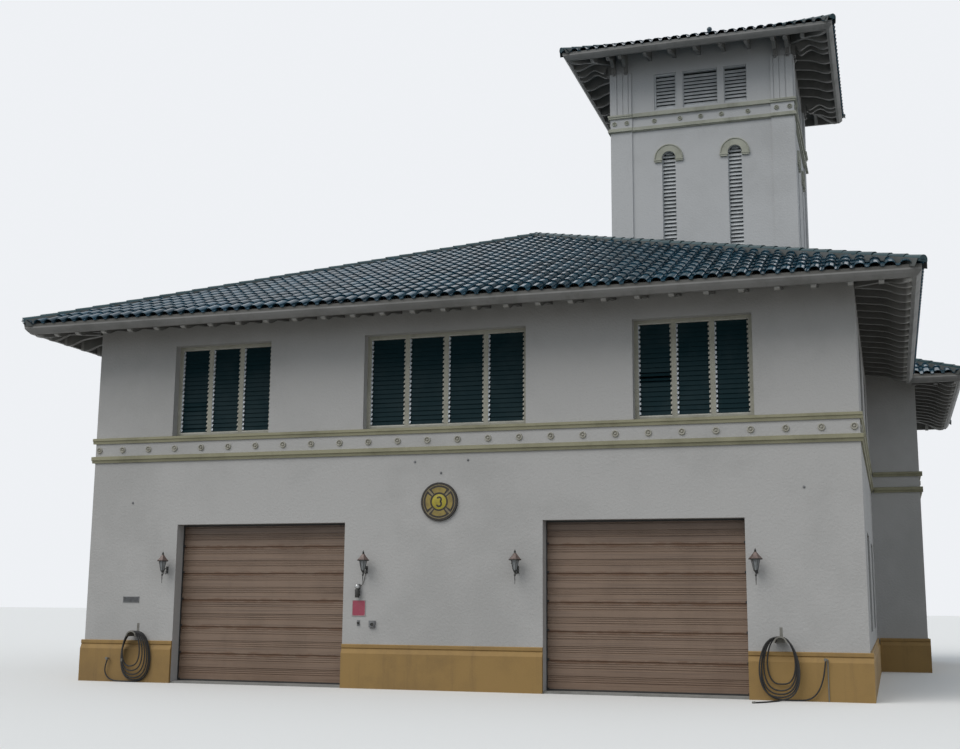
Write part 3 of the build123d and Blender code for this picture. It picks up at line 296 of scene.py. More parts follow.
window_paint = weathered("window paint", (0.37, 0.36, 0.295), (0.13, 0.125, 0.095), {"IOR": 1.45},
                         Patch_Size=0.5, Streaks=0.35, Speckle=0.2, Grain_Size=0.012, Grain_Height=0.0007,
                         Roughness=0.55)[0]
paint_node(window_paint, "front_window_frames", "side_and_back_window_frames")
aluminium = weathered("pale aluminium", (0.74, 0.79, 0.84), (0.3, 0.31, 0.32), {"Metallic": 0.1},
                      Patch_Size=0.2, Speckle=0.4, Grain_Size=0.004, Grain_Height=0.0002)[0]
clip_paint = weathered("cream clip paint", (0.52, 0.51, 0.45), (0.14, 0.14, 0.11), Patch_Size=0.3,
                       Patches=0.4, Grain_Size=0.006, Grain_Height=0.0003, Roughness=0.6)[0]


def bar(shape, place, centre, size, tilt=0.0):
    """A straight bar on a wall. A tilt leans its top into the building."""
    turned = Matrix.Translation(centre) @ Matrix.Rotation(-tilt, 4, "X") @ Matrix.Diagonal((*size, 1))
    bmesh.ops.create_cube(shape, size=1.0, matrix=place @ turned)


def fit_lights(fitted, place, windows, slipped):
    """Fills each window's lights with blades, bare clips and painted clips, rails and channels."""
    blades, clips, painted = fitted
    for w, (centre, (width, lights), sill) in enumerate(windows):
        light = (width - 2 * FRAME_EDGE - MULLION * (lights - 1)) / lights
        for i in range(lights):
            middle = centre - width / 2 + FRAME_EDGE + i * (light + MULLION) + light / 2
            for k in range(BLADES):
                height = sill + 0.09 + BLADE_PITCH * (k + 0.5)
                tilt = math.radians(13 + 1.5 * math.sin(5.1 * k + 2.3 * i + w) + slipped.get((w, i, k), 0))
                bar(blades, place, (middle, 0.222, height), (light - 0.05, *BLADE_SIZE), tilt)
                for side, shape, wide in ((-1, clips, 0.03), (1, painted, 0.026)):
                    spot = middle + side * (light / 2 - wide / 2 - 0.003)
                    bar(shape, place, (spot, 0.2, height - 0.005), (wide, *CLIP_SIZE), tilt + 0.3)
            for side, shape in ((-1, clips), (1, painted)):
                jamb = middle + side * (light / 2 - 0.002)
                bar(shape, place, (jamb, 0.22, sill + 0.9375), CHANNEL_SIZE)
            for height, thick in ((0.072, 0.024), (1.807, 0.016)):
                bar(painted, place, (middle, 0.21, sill + height), (light, RAIL_DEPTH, thick))


front_fitted, rear_fitted = [[bmesh.new() for _ in range(3)] for _ in range(2)]
fit_lights(front_fitted, front_place, FRONT_WINDOWS, SLIPPED)
fit_lights(rear_fitted, wall_place("back"), BACK_WINDOWS, {})
for side, way in SIDES:
    main_windows = [(way * y, NARROW, sill) for y in (3.3, 7.7) for sill in (UPPER_SILL, LOWER_SILL)]
    wing_windows = [(way * 14.45, WIDE, sill) for sill in (UPPER_SILL, LOWER_SILL)]
    fit_lights(rear_fitted, wall_place(side, MAIN_SIDE), main_windows, {})
    fit_lights(rear_fitted, wall_place(side, WING_SIDE), wing_windows, {})
for label, fitted in (("front", front_fitted), ("side_and_back", rear_fitted)):
    add_piece(label + "_light_clips", fitted[1], aluminium)
    add_piece(label + "_painted_clips", fitted[2], clip_paint)

# Louvre blades: dark green glass slats lying over each other like shingles, dusty at their lower edges.
# They are shut but for a few that have slipped in their clips.
louvre_glass = weathered("dark louvre glass", (0.010, 0.028, 0.034), (0.035, 0.055, 0.06),
                         {"IOR": 1.45, "Specular IOR Level": 0.03}, Patch_Size=0.5, Streaks=0.1,
                         Speckle=0.15, Grain_Size=0.3, Roughness=0.32)[0]
for label, fitted in (("front", front_fitted), ("side_and_back", rear_fitted)):
    louvres = add_piece(label + "_louvre_blades", fitted[0], louvre_glass)
    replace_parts(louvres, label + "_window_glass")


# Vehicle doors: six pressed steel sections each, hinged on one another, with flat bands between rows
# of thin ridges. Tan enamel, browned with rust along every joint, over a rubber seal.
DOOR_X = 3.81
DOOR_HALF = 1.834
DOOR_FOOT = 0.04
DOOR_HEAD = 3.112
SHEET_DEPTH = 0.3
SECTION = 0.525
# Where a section's ridges start and their pitch, and the flat bands, all down from its top.
RIDGED = ((0.014, 0.041), (0.268, 0.037))
FLAT = ((0.1425, 0.2565), (0.384, 0.508))


def section_profile():
    """Way down from a section's top, and way out from its sheet, for one section."""
    steps = [(0.0, 0.001), (0.009, 0.001)]
    for (start, pitch), (high, low) in zip(RIDGED, FLAT):
        for k in range(3):
            top = start + pitch * k
            steps += [(top, 0.007), (top + 0.004, 0.0125), (top + 0.010, 0.014), (top + 0.020, 0.0125),
                      (top + 0.025, 0.005), (top + pitch - 0.003, 0.004)]
        steps += [(high - 0.007, 0.012), (high, 0.021), (low, 0.021), (low + 0.006, 0.010)]
    return steps + [(SECTION - 0.006, 0.001)]


def cover(tree, shader, factor, colour):
    """Lays a colour over what a finish shows so far, where the factor says."""
    so_far = shader.inputs["Base Color"].links[0].from_socket
    tree.links.new(tint(tree, factor, so_far, colour), shader.inputs["Base Color"])


def make_door_paint():
    """Enamel with thin level lines of grime, painted shade darkening its top under the lintel, and rust
    along the joints and at the foot.
    """
    material, tree, shader = weathered("tan door enamel", (0.222, 0.152, 0.107), (0.09, 0.055, 0.034),
                                       {"Coat Weight": 0.15, "Coat Roughness": 0.35}, Patch_Size=1.1,
                                       Streaks=0.12, Speckle=0.25)[:3]
    place = part_node(tree, "TexCoord").outputs["Object"]
    height = part_node(tree, "SeparateXYZ", {0: place}).outputs[2]
    rows = maths(tree, "DIVIDE", maths(tree, "SUBTRACT", height, DOOR_FOOT), SECTION)
    from_joint = maths(tree, "PINGPONG", rows, 0.5)
    blotch = noise(tree, stretched(tree, place, (1, 1, 4.0)), 3.0, 7.0, 0.7)
    reach = band(tree, blotch, 0.35, 0.72, 0.02, 0.2)
    rust = band(tree, maths(tree, "DIVIDE", from_joint, reach), 0.0, 1.0, 0.9, 0.0)
    foot = band(tree, height, 0.05, 0.75, 0.5, 0.0)
    rust = maths(tree, "MAXIMUM", rust, maths(tree, "MULTIPLY", foot, blotch))
    thin = noise(tree, stretched(tree, place, (0.35, 0.35, 60.0)), 1.0, 3.0, 0.6)
    lines = band(tree, thin, 0.5, 0.62, 0.0, 0.55)
    # The thin lines are grime. The band from 2.6 m up is painted shade under the lintel, in the same dark.
    grime_and_shade = maths(tree, "ADD", lines, band(tree, height, 2.6, 3.1, 0.0, 0.35))
    cover(tree, shader, grime_and_shade, (0.085, 0.055, 0.04, 1))
    cover(tree, shader, rust, (0.125, 0.062, 0.03, 1))
    return material


door_paint = make_door_paint()
seal_rubber = weathered("seal rubber", (0.02, 0.02, 0.02), (0.06, 0.055, 0.05), Patch_Size=0.3,
                        Grain_Size=0.006, Grain_Height=0.0005, Roughness=0.7)[0]


def make_vehicle_door(name, centre):
    shape = bmesh.new()
    profile = []
    for i in range(6):
        top = DOOR_FOOT + SECTION * (6 - i)
        profile += [(SHEET_DEPTH - out, top - down) for down, out in section_profile()
                    if top - down < DOOR_HEAD + 0.001]
    profile += [(0.299, 0.041), (0.345, 0.041), (0.345, DOOR_HEAD)]
    rows = [[shape.verts.new((centre + side * DOOR_HALF, y - WALL_END, z)) for y, z in profile]
            for side in (-1, 1)]
    for i in range(len(profile)):
        j = (i + 1) % len(profile)
        shape.faces.new((rows[0][i], rows[0][j], rows[1][j], rows[1][i]))
    shape.faces.new(rows[0])
    shape.faces.new(rows[1][::-1])
    door = add_piece(name + "_sections", shape, door_paint, 25)
    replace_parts(door, name)
    seal = bmesh.new()
    for side in (-1, 1):
        bar(seal, front_place, (centre + side * 1.826, 0.27, 1.58), (0.016, 0.03, 3.06))
        for k in range(6):
            height = DOOR_FOOT + SECTION * k + 0.03
            bar(seal, front_place, (centre + side * 1.805, 0.268, height), (0.04, 0.016, 0.04))
    for depth, height in ((0.262, 3.098), (0.284, 0.056)):
        bar(seal, front_place, (centre, depth, height), (3.66, 0.03, 0.03))
    add_piece(name + "_seals", seal, seal_rubber)


make_vehicle_door("left_vehicle_door", -DOOR_X)
make_vehicle_door("right_vehicle_door", DOOR_X)

# Back door: one flush wooden leaf hung in its frame in the middle of the rear wall, in a drab green
# paint that rain has streaked.
back_door_paint = weathered("back door paint", (0.19, 0.19, 0.16), (0.07, 0.065, 0.05), Patch_Size=0.6,
                            Patches=0.35, Streaks=0.3, Speckle=0.2, Roughness=0.55)[0]
paint_node(back_door_paint, "back_door")

# Roof decks: sawn boards nailed along the eaves on the rafters and painted grey. They are seen from
# below as soffits, with a thin dark joint between one board and the next.
BOARD_WIDTH = 0.14


def make_soffit_boards(name, colour):
    material, tree, shader, wear = weathered(name, colour, (0.06, 0.056, 0.05), Patch_Size=0.8, Patches=0.4,
                                             Streaks=0.0, Speckle=0.25, Grain_Size=0.02, Grain_Height=0.001,
                                             Roughness=0.75)
    place = part_node(tree, "TexCoord").outputs["Object"]
    across = part_node(tree, "SeparateXYZ", {0: place}).outputs
    faces = part_node(tree, "SeparateXYZ", {0: part_node(tree, "NewGeometry").outputs["Normal"]}).outputs
    sizes = [maths(tree, "ABSOLUTE", faces[k]) for k in (0, 1)]
    sideways = maths(tree, "GREATER_THAN", *sizes)
    way = part_node(tree, "Mix", {0: sideways, 2: across[1], 3: across[0]}).outputs[0]
    joint = maths(tree, "PINGPONG", maths(tree, "DIVIDE", way, BOARD_WIDTH), 0.5)
    groove = band(tree, joint, 0.0, 0.045)
    so_far = shader.inputs["Base Color"].links[0].from_socket
    tree.links.new(tint(tree, groove, (0.03, 0.03, 0.028, 1), so_far), shader.inputs["Base Color"])
    bump = part_node(tree, "Bump", {"Height": groove, "Distance": 0.004, "Normal": wear.outputs["Normal"]})
    tree.links.new(bump.outputs[0], shader.inputs["Normal"])
    return material


# The main roof's boards are the same paint as the tower's, drawn a darker grey as painted shade.
shaded_soffit_boards = make_soffit_boards("soffit boards in painted shade", (0.14, 0.137, 0.127))
tower_soffit = make_soffit_boards("tower soffit boards", (0.22, 0.222, 0.215))
paint_node(shaded_soffit_boards, "front_roof", "left_roof", "right_roof", "back_roof", "wing_roofs")
paint_node(tower_soffit, "tower_roof")

# Eaves: sawn rafter tails with a scroll-cut underside, behind a canted gutter board. The boards, the
# tower's rafters and its brackets are a chalky grey. The main roof's tails are the same paint, drawn
# darker as painted shade and paler at their tips as painted light.
eave_paint = weathered("grey eave paint", (0.225, 0.222, 0.215), (0.075, 0.075, 0.068), Patch_Size=0.7,
                       Patches=0.35, Streaks=0.25, Speckle=0.2, Grain_Size=0.02, Grain_Height=0.001,
                       Roughness=0.6)[0]
paint_node(eave_paint, "main_fascia", "tower_fascia", "tower_rafters", "tower_brackets")


# How far out painted light makes the tails pale on the main roof: along the sides, and at the front and
# the back. The wing's tails reach 1.18 m further.
PAINTED_LIGHT_FROM = (8.52, 9.86)


def make_rafter_shade_and_light():
    """The tails in a dark grey as painted shade, paler on the last hand's width as painted light."""
    material, tree, shader = weathered("rafter paint, painted shade and light", (0.13, 0.128, 0.12), (0.06, 0.058, 0.052),
                                       Patch_Size=0.7, Patches=0.35, Streaks=0.1, Speckle=0.2,
                                       Grain_Size=0.02, Grain_Height=0.001, Roughness=0.6)[:3]
    place = part_node(tree, "TexCoord").outputs["Object"]
    x, y = part_node(tree, "SeparateXYZ", {0: place}).outputs[:2]
    wing = maths(tree, "GREATER_THAN", y, 0.7)
    side = maths(tree, "SUBTRACT", maths(tree, "ABSOLUTE", x), maths(tree, "MULTIPLY", wing, 1.18))
    end = maths(tree, "SUBTRACT", maths(tree, "ABSOLUTE", y), PAINTED_LIGHT_FROM[1])
    out = maths(tree, "MAXIMUM", maths(tree, "SUBTRACT", side, PAINTED_LIGHT_FROM[0]), end)
    # Painted light: the outermost 5 cm of each tail pale, and the 40 cm inside them a little paler.
    painted_light = maths(tree, "ADD", band(tree, out, 0.0, 0.05, 0.0, 0.72), band(tree, out, -0.4, 0.0, 0.0, 0.28))
    cover(tree, shader, painted_light, (0.42, 0.415, 0.40, 1))
    return material


paint_node(make_rafter_shade_and_light(), "main_rafters")

# Roof tiles: glazed clay barrels with a pan beside each, very dark blue-green, nailed to the deck in
# lapping courses. No two have quite the same glaze. They are cut along the hips, valleys and tower.
TILE_PITCH = 0.246
COURSE = 0.385
TILE_LENGTH = 0.44
TILE_THICK = 0.014
BARREL_RADIUS = 0.088
PAN_RISE = 0.016
EAVE_OVERHANG = 0.03
# How far a tile lies off its place, across, up the slope and in height, and how far past an edge of
# the plane its middle may be for it to be laid and cut.
SHAKE = (0.0015, 0.003, 0.0014)
LAID_PAST = 0.24


def tile_outline():
    """Way across one tile and its height, over the barrel and then the pan."""
    across, height = [], []
    for i in range(10):
        a = math.pi * i / 9
        across.append(BARREL_RADIUS - BARREL_RADIUS * math.cos(a))
        height.append(PAN_RISE + 0.07 * math.sin(a) ** 0.85)
    for share in (0.3, 0.7, 1.0):
        across.append(2 * BARREL_RADIUS + (TILE_PITCH - 2 * BARREL_RADIUS) * share)
        height.append(PAN_RISE - 0.008 * math.sin(math.pi * share))
    return np.array(across), np.array(height)


def tile_patch(course, shake):
    """Corners and faces of one tile, in across, up-slope and height. The first course is open below."""
    across, height = tile_outline()
    n = len(across)
    lift_low, lift_high = (0.004, 0.0) if course == 0 else (0.024, 0.002)
    low = -EAVE_OVERHANG if course == 0 else shake[1]
    top = height + lift_low + shake[2]
    lip = top - (TILE_THICK if course == 0 else 0.02)
    rows = [(low, top), (TILE_LENGTH, height + lift_high), (low, top), (low + 0.004, lip)]
    rows += [(0.2, lip)] if course == 0 else []
    faces = []
    for i in range(n - 1):
        faces.append((i, i + 1, n + i + 1, n + i))
        faces.append((3 * n + i, 3 * n + i + 1, 2 * n + i + 1, 2 * n + i))
    if course == 0:
        faces += [(4 * n + i, 4 * n + i + 1, 3 * n + i + 1, 3 * n + i) for i in range(n - 1)]
    across = across + shake[0]
    return np.concatenate([np.stack([across, np.full(n, up), lift], 1) for up, lift in rows]), faces


def cut_along(shape, spot, out, clear=False):
    """Cuts every face along an upright plane, and drops what is beyond it if told to."""
    bmesh.ops.bisect_plane(shape, geom=shape.verts[:] + shape.edges[:] + shape.faces[:], plane_co=spot,
                           plane_no=out, clear_outer=clear)


def inside(spot, hole, margin=0.0):
    """Whether a place in plan is within a rectangle, by more than a margin."""
    return all(hole[k][0] + margin < spot[k] < hole[k][1] - margin for k in (0, 1))


def lay_tiles(plan, eave, slope, seed, line=None, cut_back=None, hole=None):
    """Covers one roof plane. plan runs counter-clockwise from its eave line, where eave is the deck's top.

    line is the eave that the courses are set out from where plan has none of its own, cut_back draws
    some edges of the plan in by a distance, and hole is a plan rectangle left open.
    """
    chance = np.random.default_rng(seed)
    first, last = line or plan[:2]
    start = Vector((*first, eave))
    along = Vector((last[0] - first[0], last[1] - first[1], 0))
    along.normalize()
    inward = Vector((-along.y, along.x, 0))
    up = (inward + Vector((0, 0, slope))).normalized()
    square = along.cross(up)
    reach = max((Vector(corner) - Vector(first)).dot(inward.to_2d()) for corner in plan)
    flat = up.dot(inward)
    spread = [(Vector(corner) - Vector(first)).dot(along.to_2d()) / TILE_PITCH for corner in plan]
    edges = {k: (plan[k], plan[(k + 1) % len(plan)]) for k in range(0 if line else 1, len(plan))}
    points, faces, firing = [], [], []
    count = 0
    for course in range(int(reach / flat / COURSE) + 1):
        for i in range(math.floor(min(spread)), math.ceil(max(spread))):
            middle = Vector(first) + along.to_2d() * (i + 0.5) * TILE_PITCH
            middle += inward.to_2d() * (course + 0.5) * COURSE * flat
            outside = False
            for a, b in edges.values():
                run = Vector(b) - Vector(a)
                beyond = (middle - Vector(a)).dot(Vector((run.y, -run.x)).normalized())
                outside = outside or beyond > LAID_PAST
            if outside or (hole and inside(middle, hole, 0.4)):
                continue
            shake = chance.normal(0, 1, 3) * SHAKE
            corners, quads = tile_patch(course, shake)
            corners = corners + np.array((i * TILE_PITCH, course * COURSE, 0))
            points.append(corners)
            faces += [tuple(count + c for c in quad) for quad in quads]
            firing += [chance.random()] * len(corners)
            count += len(corners)
    points = np.concatenate(points)
    frame_of = np.array((along, up, square))
    mesh = bpy.data.meshes.new("tiles")
    mesh.from_pydata(points @ frame_of + np.array(start), [], faces)
    mesh.attributes.new("firing", "FLOAT", "POINT").data.foreach_set("value", firing)
    shape = bmesh.new()
    shape.from_mesh(mesh)
    bpy.data.meshes.remove(mesh)
    for k, (a, b) in edges.items():
        run = Vector((b[0] - a[0], b[1] - a[1], 0))
        out = Vector((run.y, -run.x, 0)).normalized()
        back = (cut_back or {}).get(k, 0.0)
        cut_along(shape, Vector((*a, 0)) - out * back, out, clear=True)
    if hole:
        for limits, out in zip(hole, (Vector((1, 0, 0)), Vector((0, 1, 0)))):
            for limit in limits:
                cut_along(shape, limit * out, out)
        gone = [face for face in shape.faces if inside(face.calc_center_median(), hole)]
        bmesh.ops.delete(shape, geom=gone, context="FACES")
    return shape


def make_sky_tinted_glaze(name, dark, light):
    """Glaze over red clay, its tone differing from one tile to the next, and chipped to the clay here and
    there.
    """
    # The sky-blue Specular Tint is a painted reflection of a blue sky.
    material, tree, shader, wear = weathered(
        name, dark, (0.06, 0.08, 0.09),
        {"IOR": 1.45, "Specular IOR Level": 0.26, "Specular Tint": (0.45, 0.74, 1.0, 1)}, Patch_Size=1.6,
        Patches=0.2, Streaks=0.0, Grain_Size=0.03, Grain_Height=0.0007, Roughness=0.11)
    firing = part_node(tree, "Attribute", attribute_name="firing").outputs["Fac"]
    tree.links.new(tint(tree, firing, (*dark, 1), (*light, 1)), wear.inputs["Color"])
    place = part_node(tree, "TexCoord").outputs["Object"]
    bare = band(tree, noise(tree, place, 21.0, 3.0, 0.6), 0.73, 0.76)
    cover(tree, shader, bare, (0.16, 0.1, 0.065, 1))
    rough = maths(tree, "ADD", wear.outputs["Roughness"], maths(tree, "MULTIPLY", bare, 0.5), clamp=True)
    tree.links.new(rough, shader.inputs["Roughness"])
    return material


# The blue in these colours is partly the glaze's own and partly painted reflection of a blue sky.
glaze = make_sky_tinted_glaze("dark blue-green glaze, painted sky reflection", (0.007, 0.028, 0.043), (0.023, 0.075, 0.112))
MAIN_SLOPE = 0.42
SIDE_SLOPE = 0.385
DECK_TOP = 7.2
# The eaves in plan: the main roof's, the wing's side, where the wing starts, and the wing's hip heads.
EAVE_X, EAVE_Y = 8.78, 10.12
WING_X, WING_Y = 9.96, 0.78
HEAD_X, HEAD_Y = 5.29, 5.45
APEX_FRONT = (0, -EAVE_Y + EAVE_X * SIDE_SLOPE / MAIN_SLOPE)
APEX_BACK = (0, EAVE_Y - EAVE_X * SIDE_SLOPE / MAIN_SLOPE)
VALLEY_HEAD = (EAVE_X - (HEAD_Y - WING_Y) * MAIN_SLOPE / SIDE_SLOPE, HEAD_Y)
# The tower's foot in plan, where the tiles stop, and how far those beside a valley are cut back.
SHAFT = ((1.425, 6.045), (1.1, 5.72))
CUT_BACK = 0.07


def turned_over(points):
    """The same plan on the other side of the building, still counter-clockwise."""
    flipped = [(-x, y) for x, y in points][::-1]
    return flipped[-2:] + flipped[:-2]


RIGHT_PLAN = [(EAVE_X, -EAVE_Y), (EAVE_X, WING_Y), VALLEY_HEAD, APEX_BACK, APEX_FRONT]
WING_FRONT_PLAN = [(EAVE_X, WING_Y), (WING_X, WING_Y), (HEAD_X, HEAD_Y), VALLEY_HEAD]
WING_SIDE_PLAN = [(WING_X, WING_Y), (WING_X, EAVE_Y), (HEAD_X, HEAD_Y)]
BACK_LOW_PLAN = [(WING_X, EAVE_Y), (-WING_X, EAVE_Y), (-HEAD_X, HEAD_Y), (HEAD_X, HEAD_Y)]
BACK_HIGH_PLAN = [(VALLEY_HEAD[0], HEAD_Y), (-VALLEY_HEAD[0], HEAD_Y), APEX_BACK]
PLANES = [
    ("front_roof_tiles", [(-EAVE_X, -EAVE_Y), (EAVE_X, -EAVE_Y), APEX_FRONT], MAIN_SLOPE, {}),
    ("right_roof_tiles", RIGHT_PLAN, SIDE_SLOPE, dict(cut_back={1: CUT_BACK}, hole=SHAFT)),
    ("left_roof_tiles", turned_over(RIGHT_PLAN), SIDE_SLOPE, dict(cut_back={4: CUT_BACK})),
    ("right_wing_front_tiles", WING_FRONT_PLAN, MAIN_SLOPE, dict(cut_back={3: CUT_BACK}, hole=SHAFT)),
    ("left_wing_front_tiles", turned_over(WING_FRONT_PLAN), MAIN_SLOPE, dict(cut_back={1: CUT_BACK})),
    ("right_wing_side_tiles", WING_SIDE_PLAN, MAIN_SLOPE, dict(hole=SHAFT)),
    ("left_wing_side_tiles", turned_over(WING_SIDE_PLAN), MAIN_SLOPE, {}),
    ("lower_back_tiles", BACK_LOW_PLAN, MAIN_SLOPE, dict(hole=SHAFT)),
    ("upper_back_tiles", BACK_HIGH_PLAN, MAIN_SLOPE, dict(hole=SHAFT, line=BACK_LOW_PLAN[:2])),
]
for seed, (name, plan, slope, cuts) in enumerate(PLANES):
    add_piece(name, lay_tiles(plan, DECK_TOP, slope, seed, **cuts), glaze, 40, outward=False)

TOWER_MIDDLE = Vector((3.735, 3.41))
TOWER_EDGE = 3.53
TOWER_SLOPE = 0.41
TOWER_DECK_TOP = 16.305
tower_corners = [tuple(TOWER_MIDDLE + Vector((x, y)) * TOWER_EDGE)
                 for x, y in ((-1, -1), (1, -1), (1, 1), (-1, 1))]
for k, side in enumerate(("front", "right", "back", "left")):
    plan = [tower_corners[k], tower_corners[(k + 1) % 4], tuple(TOWER_MIDDLE)]
    tiles = lay_tiles(plan, TOWER_DECK_TOP, TOWER_SLOPE, 20 + k)
    add_piece(f"tower_{side}_tiles", tiles, glaze, 40, outward=False)

# Hip and ridge caps: half-round tiles lapped up each hip, bedded in dark mortar that has squeezed
# out between the barrels. The lowest one of each run has a closed end.
CAP_LENGTH = 0.42
CAP_LAP = 0.06
MORTAR_STEP = 0.15
# A cap's rings: way up the run, radius, and height of its middle over the deck. None is its head.
CAP_RINGS = ((0.004, 0.088, 0.05), (0.0, 0.1, 0.052), (None, 0.091, 0.041))
MORTAR_OUTLINE = ((-0.15, -0.07), (-0.105, 0.078), (0.105, 0.078), (0.15, -0.07))


def lay_caps(caps, mortar, low_end, high_end, seed):
    """One run of caps with its mortar, from the low end of a hip to its head."""
    chance = np.random.default_rng(seed)
    firing = caps.verts.layers.float.get("firing") or caps.verts.layers.float.new("firing")
    low_end, high_end = Vector(low_end), Vector(high_end)
    run = high_end - low_end
    way = run.normalized()
    side = way.cross(Vector((0, 0, 1))).normalized()
    rise = side.cross(way)
    step = CAP_LENGTH - CAP_LAP
    for k in range(math.ceil((run.length - 0.1) / step)):
        shade = chance.random()
        sway = float(chance.normal(0, 0.004))
        foot = low_end + way * (k * step - 0.02) + side * sway
        head = min(CAP_LENGTH, run.length - k * step + 0.06)
        loops = []
        for go, radius, lift in CAP_RINGS:
            middle = foot + way * (head if go is None else go)
            arc = []
            for i in range(11):
                a = math.radians(-12 + 20.4 * i)
                spot = middle + side * radius * math.cos(a) + rise * (lift + radius * math.sin(a))
                corner = caps.verts.new(spot)
                corner[firing] = 0.35 + 0.65 * shade
                arc.append(corner)
            loops.append(arc)
        strip(caps, loops)
        if k == 0:
            caps.faces.new(loops[0])
    steps = max(2, round(run.length / MORTAR_STEP))
    bed = []
    for k in range(steps + 1):
        spot = low_end + run * (k / steps)
        jitter = chance.normal(0, 0.009, 4)
        bed.append([mortar.verts.new(spot + side * (x + shift) + rise * z)
                    for (x, z), shift in zip(MORTAR_OUTLINE, jitter)])
    strip(mortar, bed)


def deck_height(x, y):
    """The deck's top on the main roof and the wing, at a place in plan."""
    main = min(MAIN_SLOPE * (EAVE_Y - abs(y)), SIDE_SLOPE * (EAVE_X - abs(x)))
    wing = min(MAIN_SLOPE * (y - WING_Y), MAIN_SLOPE * (EAVE_Y - y), MAIN_SLOPE * (WING_X - abs(x)))
    return (x, y, DECK_TOP + max(main, wing))


caps, mortar = bmesh.new(), bmesh.new()
# Each run from its low end to its head. Three of them start or stop at the tower's walls.
RUNS = [
    ((-EAVE_X, -EAVE_Y), APEX_FRONT), ((EAVE_X, -EAVE_Y), APEX_FRONT), (APEX_FRONT, APEX_BACK),
    ((-WING_X, WING_Y), (-HEAD_X, HEAD_Y)), ((WING_X, WING_Y), (6.15, 4.59)),
    ((-WING_X, EAVE_Y), (-HEAD_X, HEAD_Y)), ((WING_X, EAVE_Y), (5.68, 5.84)),
    ((-HEAD_X, HEAD_Y), (-VALLEY_HEAD[0], HEAD_Y)), ((-VALLEY_HEAD[0], HEAD_Y), APEX_BACK),
    ((1.37, 3.327), APEX_BACK),
]
for seed, (low, high) in enumerate(RUNS):
    lay_caps(caps, mortar, deck_height(*low), deck_height(*high), 40 + seed)
tower_top = (*TOWER_MIDDLE, TOWER_DECK_TOP + TOWER_SLOPE * TOWER_EDGE)
for seed, corner in enumerate(tower_corners):
    lay_caps(caps, mortar, (*corner, TOWER_DECK_TOP), tower_top, 60 + seed)
# As on the tiles, the caps' blue is partly their own and partly painted reflection of a blue sky.
cap_glaze = make_sky_tinted_glaze("lighter cap glaze, painted sky reflection", (0.02, 0.04, 0.045), (0.05, 0.085, 0.09))
add_piece("hip_and_ridge_caps", caps, cap_glaze, 40, outward=False)
cap_mortar = weathered("bedding mortar", (0.085, 0.092, 0.092), (0.04, 0.045, 0.04), Patch_Size=0.3,
                       Patches=0.5, Speckle=0.5, Grain_Size=0.012, Grain_Height=0.003, Roughness=0.9)[0]
add_piece("hip_mortar", mortar, cap_mortar, outward=False)

# Valley gutters: folded sheet laid under the cut tiles where the wing's front planes meet the main roof.
# The right one stops at the tower.
VALLEY_HALF = 0.2
shape = bmesh.new()
for way, head in ((-1, VALLEY_HEAD), (1, (6.1, 3.237))):
    ends = [Vector(deck_height(EAVE_X, WING_Y)), Vector(deck_height(*head))]
    run = (ends[1] - ends[0]).to_2d().normalized()
    off = Vector((run.y, -run.x)) * VALLEY_HALF
    rows = []
    for end in ends:
        low_side, high_side = end.to_2d() - off, end.to_2d() + off
        rows.append([shape.verts.new(Vector((way * x, y, z + 0.004)))
                     for x, y, z in (deck_height(*low_side), end, deck_height(*high_side))])
    strip(shape, rows)
valley_lead = weathered("valley sheet", (0.13, 0.135, 0.14), (0.05, 0.055, 0.045), {"Metallic": 0.3},
                        Patch_Size=0.5, Patches=0.5, Grain_Size=0.02, Grain_Height=0.001, Roughness=0.6)[0]
add_piece("valley_gutters", shape, valley_lead)

# Hose tower trim: moulded cement strips on the upper corners, and a frieze that breaks forward over
# them, its upper and lower edges stepped. Round ornaments like the belt's are bedded on it.
TOWER_HALF = 2.41
STUD_HEIGHT = 14.53
STRIPS = ((1.87, 1.935), (1.955, 2.09), (2.105, 2.245), (2.27, 2.44))
# Heights of the frieze's steps and how far they stand out: the breaks over the corners, and the fillets.
FRIEZE_BREAKS = ((14.284, 14.335, 0.105), (14.335, 14.386, 0.09), (14.664, 14.712, 0.09),
                 (14.712, 14.766, 0.108))
FRIEZE_FILLETS = ((14.262, 14.29, 0.045), (14.76, 14.786, 0.05))


def tower_side(turn):
    """From a tower face's own coordinates (along it, in from it, up) to the building."""
    return (Matrix.Translation((*TOWER_MIDDLE, 0)) @ Matrix.Rotation(math.radians(90 * turn), 4, "Z")
            @ Matrix.Translation((0, -TOWER_HALF, 0)))


def board(shape, place, x, y, z):
    """A board from its lowest to its highest value along each axis of a face."""
    bar(shape, place, ((x[0] + x[1]) / 2, (y[0] + y[1]) / 2, (z[0] + z[1]) / 2),
        (x[1] - x[0], y[1] - y[0], z[1] - z[0]))


def softened(shape, width):
    """Rounds every edge a little, as run cement and paint leave it."""
    bmesh.ops.bevel(shape, geom=shape.edges[:], offset=width, segments=1, affect="EDGES",
                    clamp_overlap=True)


